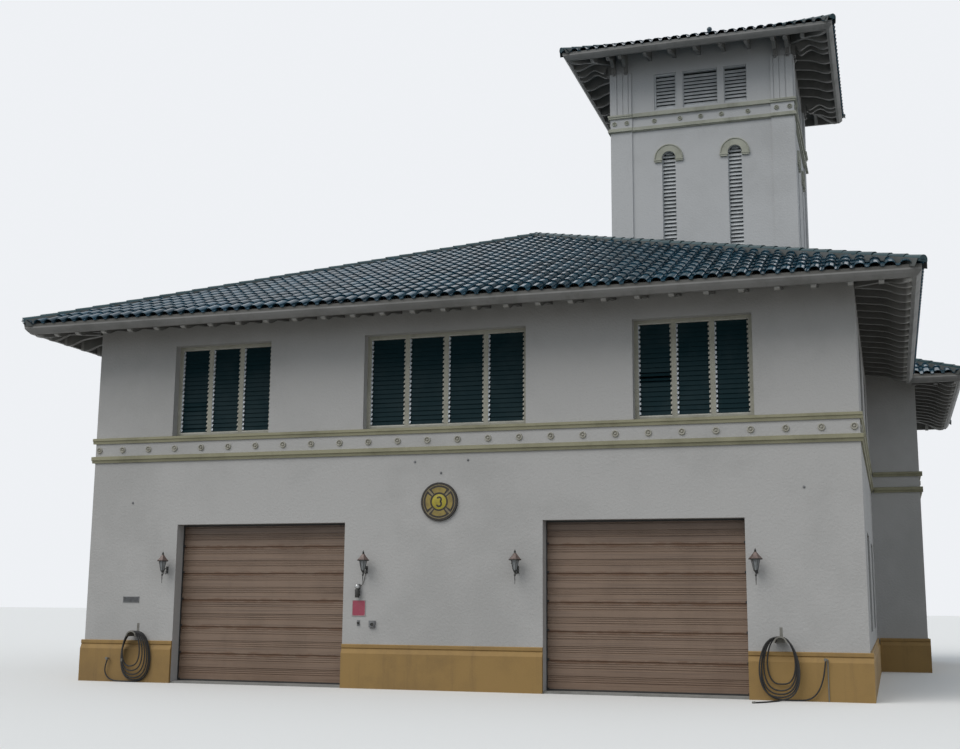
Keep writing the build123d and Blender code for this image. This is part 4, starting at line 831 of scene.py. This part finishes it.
strips, frieze, studs = bmesh.new(), bmesh.new(), bmesh.new()
for turn in range(4):
    place = tower_side(turn)
    # On the front and the back the trim runs round the corners, and the sides' trim stops against it.
    wraps = turn % 2 == 0
    for way in (-1, 1):
        for low, high in STRIPS:
            if high == STRIPS[-1][1] and not wraps:
                high -= 0.0328
            board(strips, place, sorted((way * low, way * high)), (-0.062, -0.038), (14.775, 15.97))
        reach = 2.452 if wraps else 2.409
        board(strips, place, sorted((way * 1.852, way * reach)), (-0.044, 0.0), (14.375, 14.675))
        for low, high, out in FRIEZE_BREAKS:
            end = TOWER_HALF + out if wraps else TOWER_HALF - 0.0005
            board(frieze, place, sorted((way * 1.845, way * end)), (-out, -0.001), (low, high))
    for low, high, out in FRIEZE_FILLETS:
        end = TOWER_HALF + out if wraps else TOWER_HALF - 0.001
        board(frieze, place, (-end, end), (-out, -0.001), (low, high))
    rosette_row(studs, place, (-1.25, -0.555, 0.0, 0.555, 1.25), STUD_HEIGHT)
    rosette_row(studs, place, (-2.34, -2.0, 2.0, 2.34), STUD_HEIGHT, 0.044)
softened(strips, 0.004)
softened(frieze, 0.006)
add_piece("tower_corner_strips", strips, tower_stucco)
tower_moulding = weathered("pale moulding paint", (0.40, 0.405, 0.34), (0.14, 0.145, 0.11), Patch_Size=0.7,
                           Patches=0.35, Streaks=0.25, Grain_Size=0.015, Grain_Height=0.0015,
                           Roughness=0.75)[0]
paint_node(tower_moulding, "tower_mouldings")
add_piece("tower_rosettes", studs, tower_moulding, 35)
add_piece("tower_frieze_breaks", frieze, tower_moulding)

# Console feet and hood feet: small cast blocks under each bracket and under the ends of each arched
# hood, which also carries a thin round bead along its outer line.
SLITS = (-0.878, 0.878)
SPRING = 13.435
HOOD_RADIUS = 0.366
BEAD_RADIUS = 0.018
BRACKETS_AT = (-2.33, -2.01, 2.01, 2.33)
feet, beads = bmesh.new(), bmesh.new()
for turn in range(4):
    place = tower_side(turn)
    for x in BRACKETS_AT:
        board(feet, place, (x - 0.054, x + 0.054), (-0.128, -0.04), (15.955, 15.995))
        board(feet, place, (x - 0.038, x + 0.038), (-0.1, -0.04), (15.915, 15.955))
    for middle in SLITS:
        for way in (-1, 1):
            x = middle + way * 0.285
            board(beads, place, (x - 0.112, x + 0.112), (-0.062, -0.001), (SPRING - 0.062, SPRING - 0.03))
            board(beads, place, (x - 0.095, x + 0.095), (-0.05, -0.001), (SPRING - 0.105, SPRING - 0.062))
        rows = []
        for i in range(33):
            a = math.pi * i / 32
            around = []
            for k in range(8):
                b = math.tau * k / 8
                radius = HOOD_RADIUS + BEAD_RADIUS * math.cos(b)
                spot = Vector((middle + radius * math.cos(a), -0.045 + BEAD_RADIUS * math.sin(b),
                               SPRING + radius * math.sin(a)))
                around.append(beads.verts.new(place @ spot))
            rows.append(around)
        join(beads, rows, 8)
softened(feet, 0.008)
add_piece("tower_console_feet", feet, eave_paint)
add_piece("tower_hood_beads", beads, tower_moulding, 50)

# Tower slats: weathered wooden boards in frames, tilted to shed the rain, with a near-black sheet behind
# them as painted shade for the dark shaft. Three wide openings under the eaves, and two tall arched ones,
# on every side.
louvre_paint = weathered("weathered slat paint", (0.52, 0.54, 0.55), (0.2, 0.21, 0.215), Patch_Size=0.4,
                         Patches=0.35, Streaks=0.3, Grain_Size=0.008, Grain_Height=0.0008, Roughness=0.7)[0]
# Painted shade: a near-black sheet behind the slats and slits stands in for the dark inside the shaft.
shaft_shade_paint = weathered("painted shaft shade", (0.012, 0.016, 0.016), (0.03, 0.034, 0.03), Patch_Size=0.5,
                       Streaks=0.0, Speckle=0.2, Grain_Size=0.02, Grain_Height=0.001, Roughness=0.9)[0]
SLAT_TILT = math.radians(36)
SLAT_THICK = 0.012
LIGHTS = (14.835, 15.86)
SLIT_FOOT = 10.25
SLIT_HALF = 0.185


def slat_bank(slats, place, x, z, pitch, high):
    """Tilted boards across an opening, one over another, in the inner part of the wall."""
    middle, wide = (x[0] + x[1]) / 2, x[1] - x[0]
    for k in range(int((z[1] - z[0]) / pitch)):
        bar(slats, place, (middle, 0.105, z[0] + pitch * (k + 0.45)), (wide, SLAT_THICK, high), SLAT_TILT)


slats, frames, shade_sheet = bmesh.new(), bmesh.new(), bmesh.new()
for turn in range(4):
    place = tower_side(turn)
    for middle, width, edge in ((-0.94, 0.61, 0.045), (0.0, 0.94, 0.022), (0.94, 0.61, 0.022)):
        x = (middle - width / 2, middle + width / 2)
        opening = (x[0] + edge, x[1] - edge)
        low, high = LIGHTS
        for stile in ((x[0], opening[0]), (opening[1], x[1])):
            board(frames, place, stile, (0.045, 0.125), LIGHTS)
        board(frames, place, opening, (0.04, 0.125), (low, low + 0.06))
        board(frames, place, opening, (0.045, 0.125), (high - edge, high))
        slat_bank(slats, place, opening, (low + 0.055, high - edge), 0.1, 0.108)
        board(shade_sheet, place, x, (0.2, 0.21), LIGHTS)
    for middle in SLITS:
        slat_bank(slats, place, (middle - 0.168, middle + 0.168), (10.27, SPRING + 0.05), 0.1062, 0.128)
        for high, wide in ((0.069, 0.33), (0.155, 0.18)):
            bar(slats, place, (middle, 0.1, SPRING + high), (wide, SLAT_THICK, 0.1), SLAT_TILT)
        for x in (middle - 0.176, middle + 0.176):
            board(frames, place, (x - 0.009, x + 0.009), (0.05, 0.14), (SLIT_FOOT, SPRING))
        board(shade_sheet, place, (middle - SLIT_HALF, middle + SLIT_HALF), (0.2, 0.21), (SLIT_FOOT, SPRING))
        arch = [math.pi * i / 16 for i in range(17)]
        head = [(middle + SLIT_HALF * math.cos(a), 0.12, SPRING + SLIT_HALF * math.sin(a)) for a in arch]
        shade_sheet.faces.new([shade_sheet.verts.new(place @ Vector(corner)) for corner in head])
softened(frames, 0.003)
tower_slats = add_piece("tower_slats", slats, louvre_paint)
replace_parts(tower_slats, "tower_louvre_panels")
add_piece("tower_slat_frames", frames, louvre_paint)
add_piece("tower_shaft_shade_sheet", shade_sheet, shaft_shade_paint)

# Finial: a small ball on a thrown neck and a skirt, of clay glazed like the roof and bedded where the
# tower's hip caps meet.
def turned(shape, centre, outline, sides=20):
    """A shape turned about an upright axis. outline gives radius and height, from one end to the other."""
    upright = Matrix.Translation(centre) @ Matrix.Rotation(math.radians(-90), 4, "X")
    rings(shape, upright, (0, 0, 0), outline, sides)


def ball(radius, height, low, high, step):
    """Outline of a ball between two angles, in degrees up from its middle."""
    angles = [math.radians(a) for a in range(low, high, step)]
    return [(radius * math.cos(a), height + radius * math.sin(a)) for a in angles]


SKIRT_AND_NECK = [(0.22, -0.03), (0.19, 0.10), (0.135, 0.165), (0.085, 0.19), (0.055, 0.21), (0.065, 0.23),
                  (0.095, 0.242), (0.095, 0.256), (0.05, 0.268), (0.045, 0.28)]
finial = bmesh.new()
outline = SKIRT_AND_NECK + ball(0.075, 0.345, -55, 86, 14) + [(0, 0.42)]
turned(finial, (*TOWER_MIDDLE, 17.752), outline, 24)
finial_glaze = weathered("finial glaze", (0.025, 0.055, 0.08), (0.07, 0.10, 0.12), Patches=0.5, Speckle=0.4,
                         Grain_Height=0.0008, Roughness=0.35)[0]
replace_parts(add_piece("tower_ball_finial", finial, finial_glaze, 50), "tower_finial")

# Wall lanterns: four hexagonal lanterns of painted sheet with clouded panes, a hipped copper-coloured
# cap and a turned knob and tail, each held off the wall by a scrolled arm on a back plate.
def rod(shape, points, radius, sides=6):
    """A round rod through some points."""
    rows = []
    for k, point in enumerate(points):
        ahead = Vector(points[min(k + 1, len(points) - 1)]) - Vector(points[max(k - 1, 0)])
        ahead.normalize()
        across = across - across.dot(ahead) * ahead if rows else ahead.orthogonal()
        across.normalize()
        other = ahead.cross(across)
        ways = [math.cos(math.tau * i / sides) * across + math.sin(math.tau * i / sides) * other
                for i in range(sides)]
        rows.append([shape.verts.new(Vector(point) + radius * way) for way in ways])
    join(shape, rows, sides)
    shape.faces.new(rows[0][::-1])
    shape.faces.new(rows[-1])


LANTERN_Y = -9.19
LANTERN_FOOT = 2.18
# Outlines give radius and height over the lantern's foot, and the scrolls give way back and height.
PANES = [(0, 0.004), (0.03, 0.004), (0.076, 0.208), (0, 0.208)]
FOOT_RIM = [(0, -0.002), (0.037, 0.0), (0.039, 0.012), (0.03, 0.016)]
TOP_RIM = [(0.07, 0.194), (0.119, 0.194), (0.123, 0.208), (0.07, 0.21)]
CAP = [(0, 0.209), (0.119, 0.209), (0.12, 0.214), (0.1, 0.232), (0.068, 0.268), (0.04, 0.305),
       (0.024, 0.325), (0, 0.327)]
KNOB = [(0.022, 0.322), (0.026, 0.33), (0.011, 0.338), (0.02, 0.35), (0.02, 0.36), (0.008, 0.37),
        (0.005, 0.389), (0, 0.392)]
TAIL = [(0, 0.002), (0.026, -0.004), (0.027, -0.014), (0.012, -0.026), (0.008, -0.05), (0.018, -0.066),
        (0.018, -0.08), (0.008, -0.096), (0.008, -0.15), (0.005, -0.19), (0.004, -0.235), (0, -0.24)]
ARM = ((0.175, 0.04), (0.12, 0.06), (0.08, 0.035), (0.062, -0.01), (0.048, -0.05), (0.02, -0.072),
       (0.0, -0.075))
SCROLL = ((0.175, -0.01), (0.13, 0.0), (0.105, -0.025), (0.112, -0.055), (0.135, -0.055), (0.14, -0.035))
panes, ironwork, lantern_caps = bmesh.new(), bmesh.new(), bmesh.new()
for x in (-5.83, -1.5, 1.5, 5.83):
    for shape, outline, sides in ((panes, PANES, 6), (ironwork, FOOT_RIM, 6), (ironwork, TOP_RIM, 6),
                                  (lantern_caps, CAP, 6), (ironwork, KNOB, 12), (ironwork, TAIL, 12)):
        turned(shape, (x, LANTERN_Y, LANTERN_FOOT), outline, sides)
    for i in range(6):
        a = math.tau * i / 6
        rod(ironwork, [(x + r * math.cos(a), LANTERN_Y + r * math.sin(a), LANTERN_FOOT + z)
                       for r, z in ((0.033, 0.0), (0.08, 0.2))], 0.004)
    for line, radius in ((ARM, 0.008), (SCROLL, 0.005)):
        rod(ironwork, [(x, LANTERN_Y + y, LANTERN_FOOT + z) for y, z in line], radius)
    board(ironwork, front_place, (x - 0.02, x + 0.02), (-0.012, -0.001), (2.14, 2.28))
pane_glass = weathered("clouded pane", (0.26, 0.275, 0.28), (0.1, 0.105, 0.105), Patch_Size=0.12,
                       Patches=0.5, Grain_Height=0.0003, Roughness=0.3)[0]
black_iron = weathered("black painted iron", (0.014, 0.015, 0.014), (0.05, 0.045, 0.035), Patches=0.4,
                       Speckle=0.4, Grain_Size=0.006, Grain_Height=0.0005)[0]
copper_cap = weathered("faded copper paint", (0.16, 0.115, 0.103), (0.06, 0.045, 0.04), {"Metallic": 0.2},
                       Patches=0.5, Streaks=0.3, Speckle=0.4, Grain_Size=0.008, Grain_Height=0.0005,
                       Roughness=0.45)[0]
lanterns = add_piece("lantern_ironwork", ironwork, black_iron, 40)
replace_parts(lanterns, "wall_lanterns")
add_piece("lantern_panes", panes, pane_glass)
add_piece("lantern_caps", lantern_caps, copper_cap)

# Station badge: a round cast plate over the middle pier, black-rimmed and tan. Four raised panels of
# browned gold lie between pairs of black diagonal bars, round a gold disc with the station's numeral.
BADGE = (-0.04, 3.483)


def arc_plate(shape, radii, angles, depth, centre=BADGE, steps=20):
    """A curved plate on the front wall between two radii and two angles (degrees), out to a depth."""
    section = ((radii[0], depth[0]), (radii[0], depth[1]), (radii[1], depth[1]), (radii[1], depth[0]))
    rows = []
    for i in range(steps + 1):
        a = math.radians(angles[0] + (angles[1] - angles[0]) * i / steps)
        rows.append([shape.verts.new(front_place @ Vector((centre[0] + r * math.cos(a), -out,
                                                           centre[1] + r * math.sin(a))))
                     for r, out in section])
    strip(shape, rows)
    for row in (rows[0], rows[-1]):
        shape.faces.new(row)


def sloping_bar(shape, angle, along, across, depth):
    """A straight bar on the badge, along a radius at an angle, from its low to its high values."""
    turn = Matrix.Rotation(-math.radians(angle), 4, "Y")
    place = front_place @ Matrix.Translation((BADGE[0], 0, BADGE[1])) @ turn
    board(shape, place, along, (-depth[1], -depth[0]), across)


RIM = ((0.365, 0.0), (0.365, 0.038), (0.359, 0.045), (0.328, 0.045), (0.323, 0.036))
PLATE = ((0.324, 0.0), (0.324, 0.039), (0.319, 0.042), (0.312, 0.042), (0.304, 0.034), (0.15, 0.034),
         (0.15, 0.0))
DISC = ((0.16, 0.034), (0.15, 0.038), (0, 0.038))
rim, face, plate, panels, lines = [bmesh.new() for _ in range(5)]
for shape, outline in ((rim, RIM), (plate, PLATE), (face, DISC)):
    rings(shape, front_place, (BADGE[0], 0, BADGE[1]), outline, 72)
for angle in range(0, 360, 90):
    arc_plate(panels, (0.178, 0.272), (angle - 33, angle + 33), (0.034, 0.0405))
    arc_plate(lines, (0.274, 0.304), (angle - 37, angle + 37), (0.034, 0.0395))
    for offset in (-0.036, 0.036):
        sloping_bar(lines, 45 + angle, (0.16, 0.305), (offset - 0.017, offset + 0.017), (0.033, 0.0398))
arc_plate(lines, (0.145, 0.173), (0, 360), (0.036, 0.0415), steps=64)
arc_plate(lines, (0.026, 0.056), (155, -62), (0.037, 0.0425), (BADGE[0] + 0.002, BADGE[1] + 0.044))
arc_plate(lines, (0.032, 0.064), (66, -158), (0.037, 0.0425), (BADGE[0] - 0.002, BADGE[1] - 0.04))
gold = weathered("gold enamel", (0.42, 0.35, 0.03), (0.16, 0.12, 0.03), Patch_Size=0.12, Patches=0.45,
                 Streaks=0.3, Speckle=0.4, Roughness=0.45)[0]
brown_gold = weathered("browned gold enamel", (0.30, 0.225, 0.055), (0.11, 0.08, 0.03), Patches=0.5,
                       Streaks=0.3, Speckle=0.4, Grain_Size=0.008)[0]
tan_enamel = weathered("tan enamel", (0.25, 0.205, 0.115), (0.10, 0.08, 0.05), Patches=0.4, Streaks=0.3,
                       Speckle=0.4, Grain_Size=0.008)[0]
badge_black = weathered("badge black", (0.012, 0.009, 0.006), (0.05, 0.04, 0.025), Grain_Size=0.006,
                        Grain_Height=0.0004)[0]
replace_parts(add_piece("badge_face", face, gold, 30), "badge")
add_piece("badge_rim", rim, badge_black, 30)
add_piece("badge_panels", panels, brown_gold)
add_piece("badge_plate", plate, tan_enamel, 30)
add_piece("badge_lines_and_numeral", lines, badge_black)

# Notice board: a small sheet metal plate left bare, its red enamel faded, inside a pale edge. Four
# screws hold it to the wall under the bell.
NOTICE_X = (-1.772, -1.516)
NOTICE_Z = (1.348, 1.63)
notice, notice_edge = bmesh.new(), bmesh.new()
board(notice, front_place, NOTICE_X, (-0.010, -0.001), NOTICE_Z)
for x, z in (((-1.78, NOTICE_X[0]), (1.34, 1.638)), ((NOTICE_X[1], -1.508), (1.34, 1.638)),
             (NOTICE_X, (1.34, NOTICE_Z[0])), (NOTICE_X, (NOTICE_Z[1], 1.638))):
    board(notice_edge, front_place, x, (-0.012, -0.001), z)
for x in (-1.76, -1.528):
    for z in (1.36, 1.618):
        rings(notice_edge, front_place, (x, 0, z), ((0.006, 0.009), (0.005, 0.013), (0, 0.0135)), 8)
red_enamel = weathered("faded red enamel", (0.33, 0.048, 0.085), (0.34, 0.14, 0.15), Patch_Size=0.15,
                       Patches=0.35, Speckle=0.25, Grain_Height=0.0003, Roughness=0.45)[0]
pale_enamel = weathered("pale enamel edge", (0.42, 0.40, 0.39), (0.2, 0.18, 0.17), Grain_Height=0.0003)[0]
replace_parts(add_piece("red_notice_plate", notice, red_enamel), "notice_board")
add_piece("notice_edge", notice_edge, pale_enamel)

# Call bell: a bright dome over a black ribbed canister on a wall bracket, fed by a thin conduit that
# comes down from the lantern above it.
BELL_X, BELL_Y = -1.655, -9.075
CANISTER = [(0, 0.0), (0.04, 0.0), (0.044, 0.006), (0.044, 0.05), (0.04, 0.054), (0.04, 0.06),
            (0.044, 0.064), (0.044, 0.145), (0.036, 0.158), (0, 0.16)]
CONDUIT = ((-1.63, -9.02, 1.9), (-1.59, -9.02, 1.915), (-1.56, -9.02, 1.95), (-1.54, -9.018, 2.02),
           (-1.52, -9.014, 2.15))
dome, canister = bmesh.new(), bmesh.new()
turned(canister, (BELL_X, BELL_Y, 1.685), CANISTER, 20)
board(canister, front_place, (-1.68, -1.63), (-0.045, -0.001), (1.72, 1.81))
board(canister, front_place, (-1.685, -1.625), (-0.03, -0.001), (1.85, 1.94))
turned(dome, (BELL_X, BELL_Y, 1.895), [(0.02, -0.052)] + ball(0.052, 0, -60, 86, 12) + [(0, 0.052)], 24)
rod(canister, CONDUIT, 0.006)
bright_metal = weathered("bell metal", (0.45, 0.46, 0.46), (0.12, 0.12, 0.12), {"Metallic": 0.8},
                         Patches=0.4, Grain_Size=0.005, Grain_Height=0.0003, Roughness=0.3)[0]
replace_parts(add_piece("bell_canister", canister, black_iron, 40), "call_bell")
add_piece("bell_dome", dome, bright_metal, 60)

# Small wall fittings: a cast outlet box with a round hooded socket, a push button on its plate, a slotted
# vent plate, and painted-over bolt ends left in the wall.
SOCKET = (-1.352, -0.041, 1.182)
SOCKET_HOOD = ((0.048, 0.0), (0.048, 0.012), (0.043, 0.0135), (0.037, 0.0135), (0.034, 0.004))
PUSH_BUTTON = ((0.021, 0.0), (0.021, 0.03), (0.017, 0.04), (0, 0.043))
BOLT = ((0.026, 0.0), (0.024, 0.006), (0.014, 0.008), (0.012, 0.022), (0, 0.024))
VENT_X = (-6.8085, -6.4415)
VENT_Z = (1.561, 1.678)
cast_grey, dark_bits = bmesh.new(), bmesh.new()
board(cast_grey, front_place, (-1.422, -1.298), (-0.042, -0.001), (1.132, 1.256))
rings(cast_grey, front_place, SOCKET, SOCKET_HOOD, 24)
rings(dark_bits, front_place, SOCKET, ((0.035, 0.001), (0.035, 0.005), (0, 0.006)), 24)
board(cast_grey, front_place, (-1.675, -1.619), (-0.008, -0.001), (1.155, 1.263))
rings(dark_bits, front_place, (-1.647, -0.007, 1.209), PUSH_BUTTON, 18)
board(cast_grey, front_place, VENT_X, (-0.004, -0.001), VENT_Z)
for k in range(6):
    height = VENT_Z[0] + 0.018 + 0.0162 * k
    bar(cast_grey, front_place, (-6.625, -0.0075, height), (0.335, 0.002, 0.013), -0.6)
for x, z in ((VENT_X, (VENT_Z[0], VENT_Z[0] + 0.012)), (VENT_X, (VENT_Z[1] - 0.012, VENT_Z[1])),
             ((VENT_X[0], -6.796), VENT_Z), ((-6.454, VENT_X[1]), VENT_Z)):
    board(cast_grey, front_place, x, (-0.01, -0.001), z)
for x, z in ((-6.707, 3.569), (-0.551, 4.254), (-0.02, 4.03), (0.518, 4.264), (6.68, 3.629)):
    rings(cast_grey, front_place, (x, 0, z), BOLT, 12)
grey_casting = weathered("grey casting", (0.19, 0.195, 0.2), (0.07, 0.07, 0.07), Patches=0.4, Streaks=0.3,
                         Grain_Size=0.008, Grain_Height=0.0008, Roughness=0.6)[0]
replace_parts(add_piece("outlet_button_and_vent", cast_grey, grey_casting, 35), "wall_boxes")
add_piece("socket_button_and_bolts", dark_bits, black_iron, 35)

# Hoses: black rubber washing hoses, 26 mm thick, each screwed to a tap at the plinth and hung
# in turns over a saddle. The left one ends in a coupling on the coil, the right one on the ground.
HOSE = 0.026
COIL_WALL_Y = -9.079
LEFT_TAIL = [(-7.03, -9.118, 0.425), (-7.078, -9.118, 0.3), (-7.072, -9.114, 0.165), (-6.99, -9.106, 0.062),
             (-6.862, -9.098, 0.019), (-6.7, -9.092, 0.014), (-6.52, -9.09, 0.014), (-6.35, -9.088, 0.017)]
RIGHT_TAIL = [(6.933, -9.118, 0.668), (6.916, -9.12, 0.52), (6.88, -9.12, 0.35), (6.818, -9.115, 0.19),
              (6.722, -9.106, 0.072), (6.6, -9.098, 0.02), (6.44, -9.092, 0.014), (6.26, -9.088, 0.017)]
RIGHT_END = [(6.23, -9.243, 0.017), (6.16, -9.33, 0.014), (6.085, -9.45, 0.014), (6.03, -9.59, 0.014),
             (5.94, -9.74, 0.014), (5.82, -9.86, 0.014)]


PER_TURN = 16


def hung_turns(inner, outer, top, pitch, size_at, turns, way):
    """Points of a coil hung at a height, each turn a pitch further out from the wall than the last.

    inner and outer give the middle, half width and foot of its smallest and its widest loop, and
    size_at(u) how wide it is after u turns: 1 for the widest, 0 for the smallest.
    """
    points = []
    for i in range(round(turns * PER_TURN) + 1):
        u = i / PER_TURN
        turn = math.tau * u
        size = size_at(u)
        middle, half, foot = (a + (b - a) * size for a, b in zip(inner, outer))
        side = math.copysign(abs(math.sin(turn)) ** 0.8, math.sin(turn))
        points.append((middle + way * half * side * (1 + 0.12 * math.cos(turn)), COIL_WALL_Y - pitch * u,
                       (foot + top) / 2 - (top - foot) / 2 * math.cos(turn)))
    return points


def lay_hose(name, points):
    """A hose along one smooth spline."""
    curve = bpy.data.curves.new(name, "CURVE")
    curve.dimensions = "3D"
    curve.bevel_depth = 1.0
    curve.bevel_resolution = 3
    curve.use_fill_caps = True
    spline = curve.splines.new("NURBS")
    spline.points.add(len(points) - 1)
    for control, point in zip(spline.points, points):
        control.co = (*point, 1)
        control.radius = HOSE / 2
    spline.order_u = 3
    spline.use_endpoint_u = True
    spline.resolution_u = 6
    hose = bpy.data.objects.new(name, curve)
    bpy.context.scene.collection.objects.link(hose)
    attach(hose, "root")
    return hose


def hose_length(hose):
    """Length of the hose's own line, read from its spline."""
    hose.data.bevel_depth = 0
    hose.data.use_fill_caps = False
    line = bpy.data.meshes.new_from_object(hose)
    hose.data.bevel_depth = 1.0
    hose.data.use_fill_caps = True
    ends = [v.co for v in line.vertices]
    return sum((b - a).length for a, b in zip(ends, ends[1:]))


left_turns = hung_turns((-6.432, 0.171, 0.383), (-6.402, 0.33, 0.015), 1.003, 0.028,
                        lambda u: max(0, 1 - (u / 5.7) ** 1.6), 5.7, 1)
left_hose = lay_hose("left_hose", LEFT_TAIL[:-1] + left_turns)
right_turns = hung_turns((6.208, 0.205, 0.275), (6.166, 0.35, 0.015), 1.072, 0.032,
                         lambda u: 1 - u if u < 1 else ((u - 1) / 4) ** 0.6, 5.0, -1)
right_hose = lay_hose("right_hose", RIGHT_TAIL[:-1] + right_turns + RIGHT_END[1:])
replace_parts(left_hose, "left_hose_coil", "left_hose_tail")
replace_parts(right_hose, "right_hose_coil", "right_hose_tail", "right_hose_end")
rubber = weathered("hose rubber", (0.008, 0.009, 0.01), (0.035, 0.034, 0.032), Patch_Size=0.15, Patches=0.2,
                   Streaks=0.0, Grain_Size=0.004, Roughness=0.55)[0]
for hose, tail in ((left_hose, LEFT_TAIL), (right_hose, RIGHT_TAIL)):
    hose.data.materials.append(rubber)
    round(hose_length(hose), 2)

# Hose metalwork: galvanised saddles over which the turns hang, and brass taps and couplings, dulled
# and splashed by use.
saddle_metal = weathered("galvanised and brass", (0.20, 0.195, 0.175), (0.08, 0.07, 0.055),
                         {"Metallic": 0.5}, Patch_Size=0.15, Patches=0.5, Streaks=0.3, Speckle=0.4,
                         Roughness=0.55)[0]
paint_node(saddle_metal, "hose_brackets", "hose_couplings")

# Stage: a pale floor, soft light from all round and one broad lamp. The floor and the backdrop look
# paler than the light that they give the building.
def seen_plainly(tree):
    """1 for what the camera sees directly, in gloss or through glass, and 0 for what lights a surface."""
    path = part_node(tree, "LightPath").outputs
    direct = maths(tree, "MAXIMUM", path["Is Camera Ray"], path["Is Glossy Ray"])
    return maths(tree, "MAXIMUM", direct, path["Is Transmission Ray"])


bpy.ops.mesh.primitive_plane_add(size=400)
floor = bpy.context.object
floor.name = "studio_floor"
floor_paint, tree, shader = new_finish("studio floor", 0.9)
shown = tint(tree, seen_plainly(tree), (0.22, 0.215, 0.2, 1), (0.78, 0.78, 0.77, 1))
tree.links.new(shown, shader.inputs["Base Color"])
floor.data.materials.append(floor_paint)

world = bpy.context.scene.world or bpy.data.worlds.new("studio")
bpy.context.scene.world = world
world.use_nodes = True
tree = world.node_tree
tree.nodes.clear()
seen = part_node(tree, "Background", {0: (0.86, 0.88, 0.91, 1), 1: 1.0})
lit = part_node(tree, "Background", {0: (0.86, 0.93, 1.0, 1), 1: 0.62})
mix = part_node(tree, "MixShader", {0: seen_plainly(tree), 1: lit.outputs[0], 2: seen.outputs[0]})
tree.links.new(mix.outputs[0], part_node(tree, "OutputWorld").inputs[0])

lamp = bpy.data.lights.new("broad_lamp", "SUN")
lamp.energy = 1.6
lamp.angle = math.radians(50)
lamp.color = (1.0, 0.97, 0.93)
sun = bpy.data.objects.new("broad_lamp", lamp)
sun.rotation_euler = (math.radians(40), 0, math.radians(-35))
bpy.context.scene.collection.objects.link(sun)

# Camera: the photograph's view, from just right of the building's front at eye level, tilted up. It was
# fitted to about forty points of the building, and leans by less than half a degree.
ahead = Vector((-0.2984, 0.9383, 0.1750)).normalized()
level = Vector((0.9530, 0.3031, 0.0)).normalized()
upright = level.cross(ahead)
lean = 0.007157
side = math.cos(lean) * level + math.sin(lean) * upright
crown = math.cos(lean) * upright - math.sin(lean) * level
lens = bpy.data.cameras.new("photo_camera")
lens.lens = 48.17
lens.sensor_width = 36
lens.clip_end = 1000
camera = bpy.data.objects.new("photo_camera", lens)
turn = Matrix((side, crown, -ahead)).transposed().to_4x4()
camera.matrix_world = Matrix.Translation((8.0665, -32.024, 1.6026)) @ turn
bpy.context.scene.collection.objects.link(camera)
bpy.context.scene.camera = camera
bpy.context.scene.view_settings.view_transform = "Standard"

bpy.context.view_layer.update()
